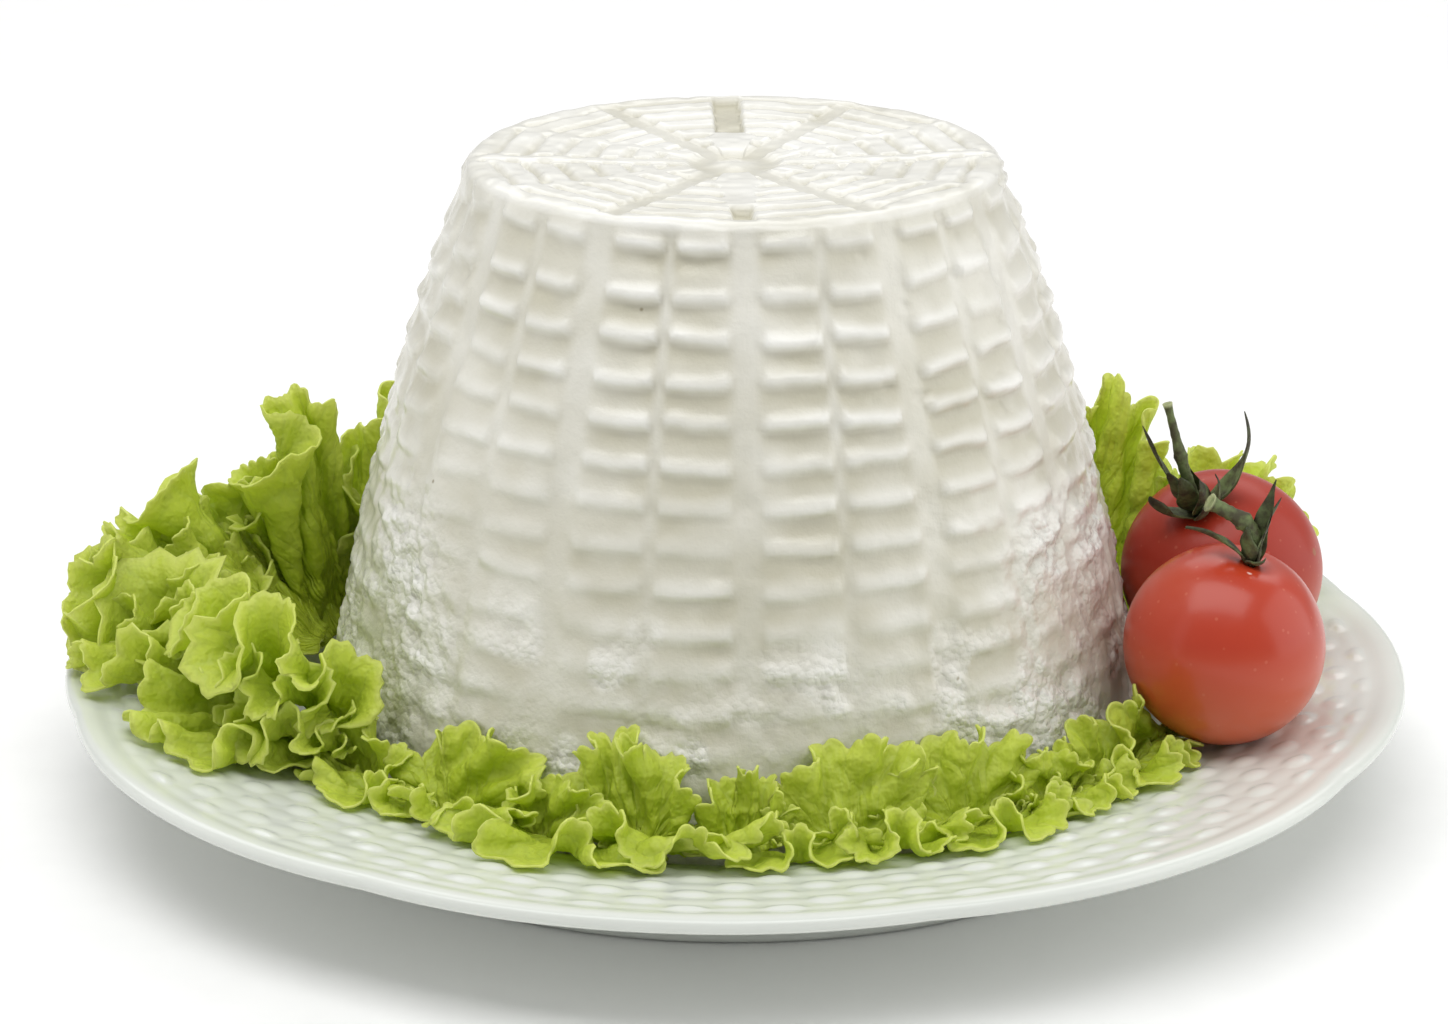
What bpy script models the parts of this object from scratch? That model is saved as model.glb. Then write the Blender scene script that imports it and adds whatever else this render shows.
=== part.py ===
"""Fresh basket ricotta on its dinner plate, with frilly lettuce round its foot and two cherry tomatoes.

Metres, +Z up, front = -Y. The origin is the middle of the plate's foot, on the surface it stands on.
Angles round the plate are in degrees from the front (-Y) towards +X.
"""
import math

import bmesh
import bpy
from mathutils import Matrix, Vector

MM = 0.001
GAP = 0.3 * MM

# Plate
PLATE_RADIUS = 132.5 * MM
RIM_HEIGHT = 24.0 * MM
WELL_RADIUS = 80.0 * MM
WELL_TOP = 6.6 * MM
WELL_UNDERSIDE = 2.6 * MM
BEND_RADII = (84.0 * MM, 88.5 * MM)
RIM_INNER_RADIUS = 93.0 * MM
RIM_INNER_HEIGHT = 17.2 * MM
RIM_THICKNESS = 3.4 * MM
FOOT_OUTER_RADIUS = 89.2 * MM
FOOT_WIDTH = 3.6 * MM
LOBES = 8
LOBE_DEPTH = 0.011
FIRST_NOTCH = 15.0
PLATE_STEPS = 48

# Ricotta
CHEESE_BOTTOM = WELL_TOP + GAP
CHEESE_TOP = 124.0 * MM
CHEESE_FOOT_RADIUS = 81.8 * MM
CHEESE_TOP_RADIUS = 51.8 * MM
CHEESE_BULGE = 3.7 * MM
CHEESE_TOP_ROUNDING = 3.0 * MM
CHEESE_FOOT_ROUNDING = 6.0 * MM
BASKET_PANELS = 12
BASKET_TURN = 2.0
STEPS_PER_PANEL = 6
RIB_ROWS = 12
RIB_PITCH = 7.35 * MM
FIRST_RIB = 119.6 * MM
POCKET_DEPTH = 1.6 * MM
STRIP_DEPTH = 0.6 * MM
IMPRINT_FADES_FROM = 56.0 * MM
IMPRINT_GONE_AT = 22.0 * MM
SPOKE_DEPTH = 1.2 * MM
TOP_RINGS = 5

# Cherry tomatoes: angle round the plate, distance from its middle, radius, and the stalk's direction
TOMATOES = {
    "tomato_front": (68.9, 99.9 * MM, 19.3 * MM, Vector((0.35, -0.07, 0.93))),
    "tomato_rear": (93.2, 97.4 * MM, 20.1 * MM, Vector((-0.21, -0.52, 0.83))),
}
TOMATO_SEGMENTS = 20
TOMATO_RINGS = 11
TOMATO_DIMPLE = 1.3 * MM

# Calyxes: each sepal's turn round the stalk in degrees, its length and how far its tip lifts in degrees
CALYX_SIDES = 10
CALYX_RADIUS = 2.6 * MM
CALYX_THICKNESS = 1.3 * MM
SEPAL_JOINTS = 3
STALK_JOINTS = 4
STALK_THINNING = 0.92
SEPALS = {
    "calyx_front": [(12.0, 14.0, 70.0), (84.0, 12.0, 62.0), (156.0, 10.0, 24.0),
                    (228.0, 11.0, 26.0), (300.0, 13.0, 66.0)],
    "calyx_rear": [(20.0, 13.0, 66.0), (92.0, 9.0, 24.0), (164.0, 13.0, 60.0),
                   (236.0, 9.0, 20.0), (308.0, 9.0, 16.0)],
}
# Stalks: length, and the direction each one ends up pointing in
STALKS = {
    "calyx_front": (12.0 * MM, Vector((-0.85, -0.1, 0.55))),
    "calyx_rear": (22.0 * MM, Vector((-0.28, 0.05, 0.96))),
}

# Lettuce leaves: first and last angle, outer radius, crest height, and how far out the crest stands (0 to 1)
LEAVES = {
    "lettuce_front_left": (-52.5, -28.5, 101.0 * MM, 44.0 * MM, 0.16),
    "lettuce_front_middle_left": (-26.5, -4.0, 105.0 * MM, 42.0 * MM, 0.16),
    "lettuce_front_middle_right": (-2.0, 21.0, 98.0 * MM, 42.0 * MM, 0.16),
    "lettuce_front_right": (23.0, 42.0, 103.0 * MM, 40.0 * MM, 0.16),
    "lettuce_by_tomatoes": (44.0, 56.0, 100.0 * MM, 48.0 * MM, 0.16),
    "lettuce_left_front": (-79.0, -54.5, 120.0 * MM, 54.0 * MM, 0.33),
    "lettuce_left": (-106.5, -81.0, 128.0 * MM, 56.0 * MM, 0.62),
    "lettuce_left_back": (-134.0, -108.5, 116.0 * MM, 72.0 * MM, 0.24),
    "lettuce_back_left": (-160.0, -136.0, 106.0 * MM, 48.0 * MM, 0.2),
    "lettuce_back": (-186.0, -162.0, 104.0 * MM, 46.0 * MM, 0.2),
    "lettuce_back_right": (143.0, 172.0, 106.0 * MM, 48.0 * MM, 0.2),
    "lettuce_right_back": (108.5, 141.0, 119.0 * MM, 70.0 * MM, 0.22),
}
LEAF_STEPS_ROUND = 8
LEAF_STEPS_OUT = 4
LEAF_FOLDS = 2.0
LEAF_CLEARANCE = 1.0 * MM
LEAF_EDGE_HEIGHT = 5.0 * MM
LEAF_INNER_GAP = 2.2 * MM
FOLD_HEIGHT = 5.0 * MM
FOLD_REACH = 4.0 * MM

COLORS = {
    "porcelain": ((0.84, 0.86, 0.82), 0.18),
    "cheese": ((0.86, 0.84, 0.77), 0.55),
    "tomato": ((0.45, 0.04, 0.03), 0.32),
    "lettuce": ((0.27, 0.45, 0.03), 0.5),
    "stalk": ((0.05, 0.10, 0.03), 0.6),
}


def smoothstep(low, high, value):
    """0 below low, 1 above high, and a smooth rise between them."""
    t = min(max((value - low) / (high - low), 0.0), 1.0)
    return t * t * (3.0 - 2.0 * t)


def polar(angle, radius, height):
    """The point at an angle (degrees from the front towards +X), a radius and a height."""
    turn = math.radians(angle)
    return Vector((radius * math.sin(turn), -radius * math.cos(turn), height))


def angle_of(point):
    """The angle of a point round the plate, in degrees from the front towards +X."""
    return math.degrees(math.atan2(point.x, -point.y))


def make_material(slot):
    """A Principled material with one of the named colours."""
    material = bpy.data.materials.get(slot)
    if material is None:
        material = bpy.data.materials.new(slot)
        material.use_nodes = True
        color, roughness = COLORS[slot]
        shader = material.node_tree.nodes["Principled BSDF"]
        shader.inputs["Base Color"].default_value = (*color, 1.0)
        shader.inputs["Roughness"].default_value = roughness
        shader.inputs["Metallic"].default_value = 0.0
    return material


def finish(bm, name, slot, collection):
    """Turn a bmesh into the named object, smooth shaded, in the collection."""
    bmesh.ops.recalc_face_normals(bm, faces=bm.faces)
    if bm.calc_volume(signed=True) < 0.0:
        bmesh.ops.reverse_faces(bm, faces=bm.faces)
    mesh = bpy.data.meshes.new(name)
    bm.to_mesh(mesh)
    bm.free()
    mesh.shade_smooth()
    mesh.materials.append(make_material(slot))
    collection.objects.link(bpy.data.objects.new(name, mesh))


def turned(profile, steps):
    """A closed body turned from (radius, height) points that start and end on the axis."""
    bm = bmesh.new()
    verts = [bm.verts.new((0.0, -radius, height)) for radius, height in profile]
    edges = [bm.edges.new(pair) for pair in zip(verts, verts[1:])]
    bmesh.ops.spin(bm, geom=verts + edges, cent=(0.0, 0.0, 0.0), axis=(0.0, 0.0, 1.0),
                   angle=math.tau, steps=steps, use_merge=True)
    bmesh.ops.remove_doubles(bm, verts=bm.verts, dist=0.001 * MM)
    return bm


def rim_top(radius):
    """Height of the plate's upper surface: flat well, short bend, then a slowly rising rim."""
    rim_slope = (RIM_HEIGHT - RIM_INNER_HEIGHT) / (PLATE_RADIUS - RIM_INNER_RADIUS)
    on_rim = RIM_INNER_HEIGHT + (radius - RIM_INNER_RADIUS) * rim_slope
    bend = smoothstep(WELL_RADIUS, RIM_INNER_RADIUS, radius)
    return WELL_TOP + (on_rim - WELL_TOP) * bend


def lobed(point):
    """Pull the rim's outline in at the notches between its lobes."""
    radius = math.hypot(point.x, point.y)
    if radius < RIM_INNER_RADIUS:
        return point
    swell = abs(math.sin(math.radians((angle_of(point) - FIRST_NOTCH) * LOBES / 2.0)))
    reach = smoothstep(RIM_INNER_RADIUS, PLATE_RADIUS, radius)
    scale = 1.0 - LOBE_DEPTH * reach * (1.0 - swell) ** 1.5
    return Vector((point.x * scale, point.y * scale, point.z))


def plate_profile():
    """Section of the plate, from the middle of its top, over the edge, to the middle of its underside."""
    top = [(0.0, WELL_TOP), (WELL_RADIUS, rim_top(WELL_RADIUS))]
    top += [(radius, rim_top(radius)) for radius in (*BEND_RADII, RIM_INNER_RADIUS)]
    top += [(112.0 * MM, rim_top(112.0 * MM)), (129.5 * MM, rim_top(129.5 * MM))]
    edge = [(PLATE_RADIUS - 0.8 * MM, RIM_HEIGHT), (PLATE_RADIUS, RIM_HEIGHT - 1.2 * MM),
            (PLATE_RADIUS - 1.2 * MM, RIM_HEIGHT - 2.8 * MM)]
    under = [(112.0 * MM, rim_top(112.0 * MM) - RIM_THICKNESS),
             (95.5 * MM, rim_top(95.5 * MM) - RIM_THICKNESS - 0.8 * MM)]
    foot = [(FOOT_OUTER_RADIUS + 1.0 * MM, 5.2 * MM), (FOOT_OUTER_RADIUS, 0.0),
            (FOOT_OUTER_RADIUS - FOOT_WIDTH, 0.0),
            (FOOT_OUTER_RADIUS - FOOT_WIDTH - 0.9 * MM, WELL_UNDERSIDE), (0.0, WELL_UNDERSIDE)]
    return top + edge + under + foot


def add_plate(collection):
    """The round white plate with a gently lobed rim, on a foot ring."""
    bm = turned(plate_profile(), PLATE_STEPS)
    for vert in bm.verts:
        vert.co = lobed(vert.co)
    finish(bm, "plate", "porcelain", collection)


def cheese_radius(height):
    """The cheese's outer radius at a height: a cone with a slight bulge."""
    t = (height - CHEESE_BOTTOM) / (CHEESE_TOP - CHEESE_BOTTOM)
    cone = CHEESE_FOOT_RADIUS + (CHEESE_TOP_RADIUS - CHEESE_FOOT_RADIUS) * t
    return cone + CHEESE_BULGE * 4.0 * t * (1.0 - t)


def cheese_profile():
    """Section of the cheese, from the middle of its top down its side to the middle of its base."""
    flat_radius = CHEESE_TOP_RADIUS - CHEESE_TOP_ROUNDING
    top = [(flat_radius * ring / TOP_RINGS, CHEESE_TOP) for ring in range(TOP_RINGS + 1)]
    side = [(cheese_radius(CHEESE_TOP - 1.6 * MM) - 0.5 * MM, CHEESE_TOP - 1.6 * MM)]
    for row in range(RIB_ROWS):
        crest = FIRST_RIB - row * RIB_PITCH
        side.append((cheese_radius(crest), crest))
        pocket = crest - 0.5 * RIB_PITCH
        side.append((cheese_radius(pocket), pocket))
    foot_height = CHEESE_BOTTOM + CHEESE_FOOT_ROUNDING
    side.append((cheese_radius(foot_height), foot_height))
    side.append((cheese_radius(CHEESE_BOTTOM) - CHEESE_FOOT_ROUNDING, CHEESE_BOTTOM))
    return top + side + [(0.0, CHEESE_BOTTOM)]


def basket_imprint(point):
    """Depth that the basket leaves below the cheese's smooth skin at a point of its side or top."""
    step = round((angle_of(point) - BASKET_TURN) * BASKET_PANELS * STEPS_PER_PANEL / 360.0) % STEPS_PER_PANEL
    on_strip = step == 0
    if point.z > CHEESE_TOP - 0.1 * MM:
        return SPOKE_DEPTH if on_strip else 0.0
    strength = smoothstep(IMPRINT_GONE_AT, IMPRINT_FADES_FROM, point.z)
    if on_strip:
        return STRIP_DEPTH * strength
    rows_down = (FIRST_RIB - point.z) / RIB_PITCH
    in_pocket = rows_down > 0.25 and abs(rows_down - math.floor(rows_down) - 0.5) < 0.25
    on_middle_strip = step == STEPS_PER_PANEL // 2
    return POCKET_DEPTH * strength if in_pocket and not on_middle_strip else 0.0


def add_cheese(collection):
    """The ricotta: a blunt cone with the imprint of its basket's ribs, strips and spokes."""
    bm = turned(cheese_profile(), BASKET_PANELS * STEPS_PER_PANEL)
    bmesh.ops.rotate(bm, verts=bm.verts, cent=(0.0, 0.0, 0.0),
                     matrix=Matrix.Rotation(math.radians(BASKET_TURN), 3, "Z"))
    for vert in bm.verts:
        depth = basket_imprint(vert.co)
        radius = math.hypot(vert.co.x, vert.co.y)
        if vert.co.z > CHEESE_TOP - 0.1 * MM:
            vert.co.z -= depth
        elif radius > CHEESE_TOP_ROUNDING:
            vert.co.x *= 1.0 - depth / radius
            vert.co.y *= 1.0 - depth / radius
    finish(bm, "ricotta", "cheese", collection)


def tomato_centre(name):
    """Middle of a tomato that rests on the sloping rim, a small gap above it."""
    angle, distance, radius, _stalk = TOMATOES[name]
    slope = math.atan((RIM_HEIGHT - RIM_INNER_HEIGHT) / (PLATE_RADIUS - RIM_INNER_RADIUS))
    return polar(angle, distance, rim_top(distance) + (radius + GAP) / math.cos(slope))


def add_tomatoes(collection):
    """Two round cherry tomatoes, dimpled where the stalk goes in."""
    for name, (_angle, _distance, radius, stalk) in TOMATOES.items():
        bm = bmesh.new()
        bmesh.ops.create_uvsphere(bm, u_segments=TOMATO_SEGMENTS, v_segments=TOMATO_RINGS, radius=radius)
        for vert in bm.verts:
            from_stalk = vert.co.angle(Vector((0.0, 0.0, 1.0)))
            vert.co.z -= TOMATO_DIMPLE * (1.0 - smoothstep(0.0, 0.6, from_stalk))
        turn = Vector((0.0, 0.0, 1.0)).rotation_difference(stalk.normalized()).to_matrix()
        bmesh.ops.rotate(bm, verts=bm.verts, cent=(0.0, 0.0, 0.0), matrix=turn)
        bmesh.ops.translate(bm, verts=bm.verts, vec=tomato_centre(name))
        finish(bm, name, "tomato", collection)


def extrude_along(bm, face, path, shrink):
    """Extrude one face through the points of a path, making it smaller each time."""
    for point in path:
        face = bmesh.ops.extrude_discrete_faces(bm, faces=[face])["faces"][0]
        centre = face.calc_center_median()
        for vert in face.verts:
            vert.co = point + (vert.co - centre) * shrink


def sepal_path(turn, length, lift):
    """Points out along one sepal, which bends up more and more towards its tip."""
    outward = Vector((math.cos(turn), math.sin(turn), 0.0))
    point = outward * CALYX_RADIUS
    path = []
    for joint in range(1, SEPAL_JOINTS + 1):
        pitch = lift * joint / SEPAL_JOINTS
        step = outward * math.cos(pitch) + Vector((0.0, 0.0, math.sin(pitch)))
        point = point + step * (length / SEPAL_JOINTS)
        path.append(point.copy())
    return path


def stalk_path(name, to_local):
    """Points up the stalk, which leaves the calyx straight and bends to its final direction."""
    length, end_direction = STALKS[name]
    end_direction = to_local @ end_direction.normalized()
    point = Vector((0.0, 0.0, CALYX_THICKNESS))
    path = []
    for joint in range(1, STALK_JOINTS + 1):
        blend = joint / STALK_JOINTS
        step = Vector((0.0, 0.0, 1.0)).lerp(end_direction, blend).normalized()
        point = point + step * (length / STALK_JOINTS)
        path.append(point.copy())
    return path


def add_calyxes(collection):
    """The green stars with their cut stalks: each is one body, grown out of a small disc."""
    for name in SEPALS:
        tomato = name.replace("calyx", "tomato")
        _angle, _distance, radius, stalk = TOMATOES[tomato]
        turn = Vector((0.0, 0.0, 1.0)).rotation_difference(stalk.normalized()).to_matrix()
        bm = bmesh.new()
        bmesh.ops.create_cone(bm, cap_ends=True, segments=CALYX_SIDES, radius1=CALYX_RADIUS,
                              radius2=CALYX_RADIUS, depth=CALYX_THICKNESS)
        top = max(bm.faces, key=lambda face: face.calc_center_median().z)
        sides = [face for face in bm.faces if abs(face.normal.z) < 0.5]
        for degrees, length, lift in SEPALS[name]:
            direction = Vector((math.cos(math.radians(degrees)), math.sin(math.radians(degrees)), 0.0))
            side = max(sides, key=lambda face: face.normal.dot(direction))
            sides.remove(side)
            outward = math.atan2(side.normal.y, side.normal.x)
            extrude_along(bm, side, sepal_path(outward, length * MM, math.radians(lift)), 0.72)
        extrude_along(bm, top, stalk_path(name, turn.inverted()), STALK_THINNING)
        seat = radius - TOMATO_DIMPLE + CALYX_THICKNESS / 2.0 + GAP
        place = Matrix.Translation(tomato_centre(tomato)) @ turn.to_4x4() @ Matrix.Translation((0.0, 0.0, seat))
        bmesh.ops.transform(bm, matrix=place, verts=bm.verts)
        finish(bm, name, "stalk", collection)


def leaf_radius(outer, step):
    """Radius of a leaf's underside at one of its steps outwards, with steps where the plate bends."""
    first = (*BEND_RADII, RIM_INNER_RADIUS)
    if step < len(first):
        return first[step]
    on_rim = (step - len(first) + 1) / (LEAF_STEPS_OUT - len(first) + 1)
    return RIM_INNER_RADIUS + (outer - RIM_INNER_RADIUS) * on_rim


def leaf_point(leaf, along, step, upper):
    """A point of a leaf's bundle of folds: along runs round the plate from 0 to 1, step counts outwards."""
    first, last, outer, crest, crest_at = leaf
    wave = math.cos(math.tau * LEAF_FOLDS * along)
    inner = BEND_RADII[0]
    radius = leaf_radius(outer - FOLD_REACH * (0.5 + 0.5 * wave), step)
    out = (radius - inner) / (outer - inner)
    angle = first + (last - first) * along
    bottom = rim_top(radius) + LEAF_CLEARANCE
    if not upper:
        return polar(angle, radius, bottom)
    rise = smoothstep(-0.35, crest_at, out) * (1.0 - smoothstep(crest_at, 1.1, out))
    ends = smoothstep(0.0, 0.12, along) * (1.0 - smoothstep(0.88, 1.0, along))
    low = bottom + LEAF_EDGE_HEIGHT
    height = low + (crest - FOLD_HEIGHT - low) * rise * (0.45 + 0.55 * ends) + FOLD_HEIGHT * wave * ends
    height = max(height, low)
    leaned = cheese_radius(height) + LEAF_INNER_GAP
    lean = 1.0 - smoothstep(0.0, 0.6, out)
    return polar(angle, radius + (leaned - radius) * lean, height)


def add_leaves(collection):
    """Each lettuce leaf as one solid, out to its uneven folded outline, between cheese and plate."""
    for name, leaf in LEAVES.items():
        bm = bmesh.new()
        bmesh.ops.create_grid(bm, x_segments=LEAF_STEPS_ROUND, y_segments=LEAF_STEPS_OUT, size=0.5)
        raised = bmesh.ops.extrude_face_region(bm, geom=bm.faces[:])["geom"]
        upper = {item for item in raised if isinstance(item, bmesh.types.BMVert)}
        for vert in bm.verts:
            step = round((vert.co.y + 0.5) * LEAF_STEPS_OUT)
            vert.co = leaf_point(leaf, vert.co.x + 0.5, step, vert in upper)
        finish(bm, name, "lettuce", collection)


def main():
    """Clear the scene and build every piece."""
    for old in list(bpy.data.objects):
        bpy.data.objects.remove(old, do_unlink=True)
    collection = bpy.data.collections.new("ricotta_on_plate")
    bpy.context.scene.collection.children.link(collection)
    add_plate(collection)
    add_cheese(collection)
    add_tomatoes(collection)
    add_calyxes(collection)
    add_leaves(collection)


main()
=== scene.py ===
"""Basket ricotta on its dinner plate, with frilly lettuce and two cherry tomatoes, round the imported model.

Shapes are worked out in millimetres and stored in metres. Angles round the plate are in degrees
from the front (-Y) towards +X. The frame's origin is the middle of the plate's foot.
"""
import math

import bmesh
import bpy
import numpy as np
from bpy.props import (FloatProperty, FloatVectorProperty, IntProperty,
                       PointerProperty)
from bpy.types import Operator, Panel, PropertyGroup
from mathutils import Matrix, Vector


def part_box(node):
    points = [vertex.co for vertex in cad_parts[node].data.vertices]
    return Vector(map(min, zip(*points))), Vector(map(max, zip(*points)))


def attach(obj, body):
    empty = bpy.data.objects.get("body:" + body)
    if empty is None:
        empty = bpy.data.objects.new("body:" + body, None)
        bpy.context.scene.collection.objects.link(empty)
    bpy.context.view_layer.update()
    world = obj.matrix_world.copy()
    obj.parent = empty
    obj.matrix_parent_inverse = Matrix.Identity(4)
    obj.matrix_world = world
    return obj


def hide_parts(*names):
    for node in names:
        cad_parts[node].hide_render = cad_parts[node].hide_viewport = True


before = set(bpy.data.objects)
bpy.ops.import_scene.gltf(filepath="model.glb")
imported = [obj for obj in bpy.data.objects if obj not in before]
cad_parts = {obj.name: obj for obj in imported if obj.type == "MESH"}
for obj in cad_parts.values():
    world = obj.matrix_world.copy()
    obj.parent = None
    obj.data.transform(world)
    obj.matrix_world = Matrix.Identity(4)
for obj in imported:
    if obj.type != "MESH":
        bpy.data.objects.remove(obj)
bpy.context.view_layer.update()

bl_info = {
    "name": "Basket Ricotta",
    "version": (1, 0, 0),
    "blender": (4, 5, 0),
    "location": "3D View > Sidebar > Ricotta",
    "description": "Builds a basket ricotta on its plate with lettuce and cherry tomatoes",
    "category": "Add Mesh",
}

MM = 0.001

# Plate, in millimetres
PLATE_RADIUS = 132.5
RIM_HEIGHT = 24.0
WELL_RADIUS = 80.0
WELL_TOP = 6.6
WELL_UNDERSIDE = 2.6
RIM_INNER_RADIUS = 93.0
RIM_INNER_HEIGHT = 17.2
RIM_THICKNESS = 3.4
FOOT_OUTER_RADIUS = 89.2
FOOT_WIDTH = 3.6
PLATE_LOBES = 8
LOBE_DEPTH = 0.011
FIRST_NOTCH = 15.0
WEAVE_INNER_RADIUS = 95.0
PEARL_SIZE = (0.23, 0.46)
STRAND_SIZE = (0.3, 0.42)
BAND_INNER_RADIUS = 126.5
LIP_MIDDLE = (131.15, 22.45)
LIP_SIZE = (1.35, 1.45)
PLATE_STEPS = 768

# Ricotta, in millimetres
CHEESE_BOTTOM = 6.9
CHEESE_TOP = 125.0
CONE_TOP = 124.0
CHEESE_FOOT_RADIUS = 81.8
CHEESE_TOP_RADIUS = 51.8
CHEESE_BULGE = 3.7
CHEESE_STEPS = 440
PANEL = 30.0
BASKET_TURN = 2.0
FIRST_CREST = 120.0
TOP_FLAT_RADIUS = 48.6
TOP_PRINT_RADIUS = 48.8
TOP_DISH = 1.5
TOP_BAR_PITCH = 6.2
TOP_BAR_START = 20.9

# Cherry tomatoes, by the direction that each stalk starts in
TOMATO_NODES = {
    "tomato_front": Vector((0.23, -0.09, 0.95)),
    "tomato_rear": Vector((-0.33, -0.43, 0.84)),
}


# ---------------------------------------------------------------- helpers

def smooth(low, high, value):
    """0 at low, 1 at high, and a smooth rise or fall between them."""
    t = np.clip((value - low) / (high - low), 0.0, 1.0)
    return t * t * (3.0 - 2.0 * t)


def linear(code):
    """A colour given as an sRGB hex code, as linear RGBA."""
    parts = [int(code[i:i + 2], 16) / 255.0 for i in (1, 3, 5)]
    return tuple(p / 12.92 if p <= 0.04045 else ((p + 0.055) / 1.055) ** 2.4 for p in parts) + (1.0,)


def polar(angle, radius, height):
    """Points at an angle, a radius and a height round the plate's middle."""
    turn = np.radians(angle)
    return np.stack([radius * np.sin(turn), -radius * np.cos(turn), height + 0.0 * turn], axis=-1)


def around(points):
    """Points' angles round the plate and their distances from its middle."""
    x, y = points[:, 0], points[:, 1]
    return np.degrees(np.arctan2(x, -y)), np.hypot(x, y)


def hashed(cells, seed):
    """Repeatable numbers from 0 to 1, one for each row of whole-number cells."""
    c = cells.astype(np.int64).astype(np.uint32)
    mixed = c[:, 0] * np.uint32(73856093) ^ c[:, 1] * np.uint32(19349663)
    mixed = mixed ^ c[:, 2] * np.uint32(83492791) ^ np.uint32(seed * 2654435761 % 2 ** 32)
    mixed = (mixed ^ (mixed >> np.uint32(13))) * np.uint32(1274126177)
    mixed = (mixed ^ (mixed >> np.uint32(16))) * np.uint32(2246822519)
    return (mixed >> np.uint32(15) & np.uint32(0xFFFF)) / 65535.0


def soft_noise(points, size, seed):
    """Smooth noise from -1 to 1 whose swells are about one size across."""
    at = points / size
    cell = np.floor(at)
    t = at - cell
    t = t * t * t * (t * (t * 6.0 - 15.0) + 10.0)
    total = np.zeros(len(points))
    for corner in np.ndindex(2, 2, 2):
        weight = np.prod(np.where(np.array(corner, bool), t, 1.0 - t), axis=1)
        total += weight * hashed(cell + np.array(corner), seed)
    return total * 2.0 - 1.0


def grains(points, size, seed):
    """Height of rounded grains packed side by side: 0 in the gaps, 1 on their tops."""
    at = points / size
    cell = np.floor(at)
    nearest = np.full(len(points), 9.0)
    for step in np.ndindex(3, 3, 3):
        other = cell + (np.array(step) - 1)
        middle = other + np.stack([hashed(other, seed + axis) for axis in range(3)], axis=1)
        nearest = np.minimum(nearest, ((at - middle) ** 2).sum(axis=1))
    return np.clip(1.0 - nearest, 0.0, 1.0)


def set_inputs(tree, node, inputs):
    """Set a node's inputs, or link them."""
    for key, value in inputs.items():
        if isinstance(value, bpy.types.NodeSocket):
            tree.links.new(value, node.inputs[key])
        else:
            node.inputs[key].default_value = value


def add_node(tree, kind, inputs=None, **settings):
    """Add a shader node, set its properties, and set or link its inputs."""
    node = tree.nodes.new(kind)
    for name, value in settings.items():
        setattr(node, name, value)
    set_inputs(tree, node, inputs or {})
    return node


def start_material(name):
    """A new material with its node tree, its Principled shader and the piece's own coordinates."""
    material = bpy.data.materials.new(name)
    material.use_nodes = True
    tree = material.node_tree
    place = add_node(tree, "ShaderNodeTexCoord").outputs["Object"]
    return material, tree, tree.nodes["Principled BSDF"], place


def mesh_from(bm, name):
    """Close a bmesh into a named mesh, smooth shaded."""
    mesh = bpy.data.meshes.new(name)
    bm.to_mesh(mesh)
    bm.free()
    mesh.shade_smooth()
    return mesh


def coordinates(mesh):
    """A mesh's vertex positions in millimetres."""
    flat = np.empty(len(mesh.vertices) * 3)
    mesh.vertices.foreach_get("co", flat)
    return flat.reshape(-1, 3) / MM


def set_coordinates(mesh, points):
    """Put a mesh's vertices at positions in millimetres."""
    mesh.vertices.foreach_set("co", (points * MM).astype(np.float32).ravel())
    mesh.update()


def directions(mesh):
    """A mesh's vertex normals."""
    flat = np.empty(len(mesh.vertices) * 3, np.float32)
    mesh.vertex_normals.foreach_get("vector", flat)
    return flat.reshape(-1, 3).astype(float)


def add_attribute(mesh, name, values):
    """Store one number for each vertex, for the materials to read."""
    mesh.attributes.new(name, "FLOAT", "POINT").data.foreach_set("value", np.asarray(values, np.float32))


def place_piece(mesh, material, slot, *nodes):
    """Show a finished mesh in place of the CAD nodes it stands for."""
    mesh.materials.append(material)
    piece = bpy.data.objects.new(mesh.name, mesh)
    bpy.context.scene.collection.objects.link(piece)
    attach(piece, "root")
    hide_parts(*nodes)
    return piece


def turned(profile, steps):
    """A closed body turned from (radius, height) points in millimetres that start and end on the axis.

    An eighth is spun and then copied round in doubling turns, which is far quicker than one long spin.
    """
    bm = bmesh.new()
    verts = [bm.verts.new((0.0, -radius * MM, height * MM)) for radius, height in profile[1:-1]]
    edges = [bm.edges.new(pair) for pair in zip(verts, verts[1:])]
    bmesh.ops.spin(bm, geom=verts + edges, cent=(0.0, 0.0, 0.0), axis=(0.0, 0.0, 1.0),
                   angle=math.tau / 8.0, steps=steps // 8)
    for eighths in (1, 2, 4):
        copy = bmesh.ops.duplicate(bm, geom=bm.verts[:] + bm.edges[:] + bm.faces[:])["geom"]
        bmesh.ops.rotate(bm, verts=[part for part in copy if isinstance(part, bmesh.types.BMVert)],
                         cent=(0.0, 0.0, 0.0), matrix=Matrix.Rotation(math.tau / 8.0 * eighths, 3, "Z"))
    bmesh.ops.remove_doubles(bm, verts=[vert for vert in bm.verts if vert.is_boundary], dist=0.001 * MM)
    caps = bmesh.ops.holes_fill(bm, edges=[edge for edge in bm.edges if edge.is_boundary], sides=0)["faces"]
    bmesh.ops.poke(bm, faces=caps)
    bmesh.ops.recalc_face_normals(bm, faces=bm.faces)
    return bm


# ---------------------------------------------------------------- properties

def colour_setting(name, description, code):
    """A colour that a user may change."""
    return FloatVectorProperty(name=name, description=description, subtype="COLOR", size=4, min=0.0, max=1.0,
                               default=linear(code))


def length_setting(name, description, millimetres, least):
    """A length that a user may change."""
    return FloatProperty(name=name, description=description, default=millimetres * MM, min=least * MM,
                         unit="LENGTH")


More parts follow.
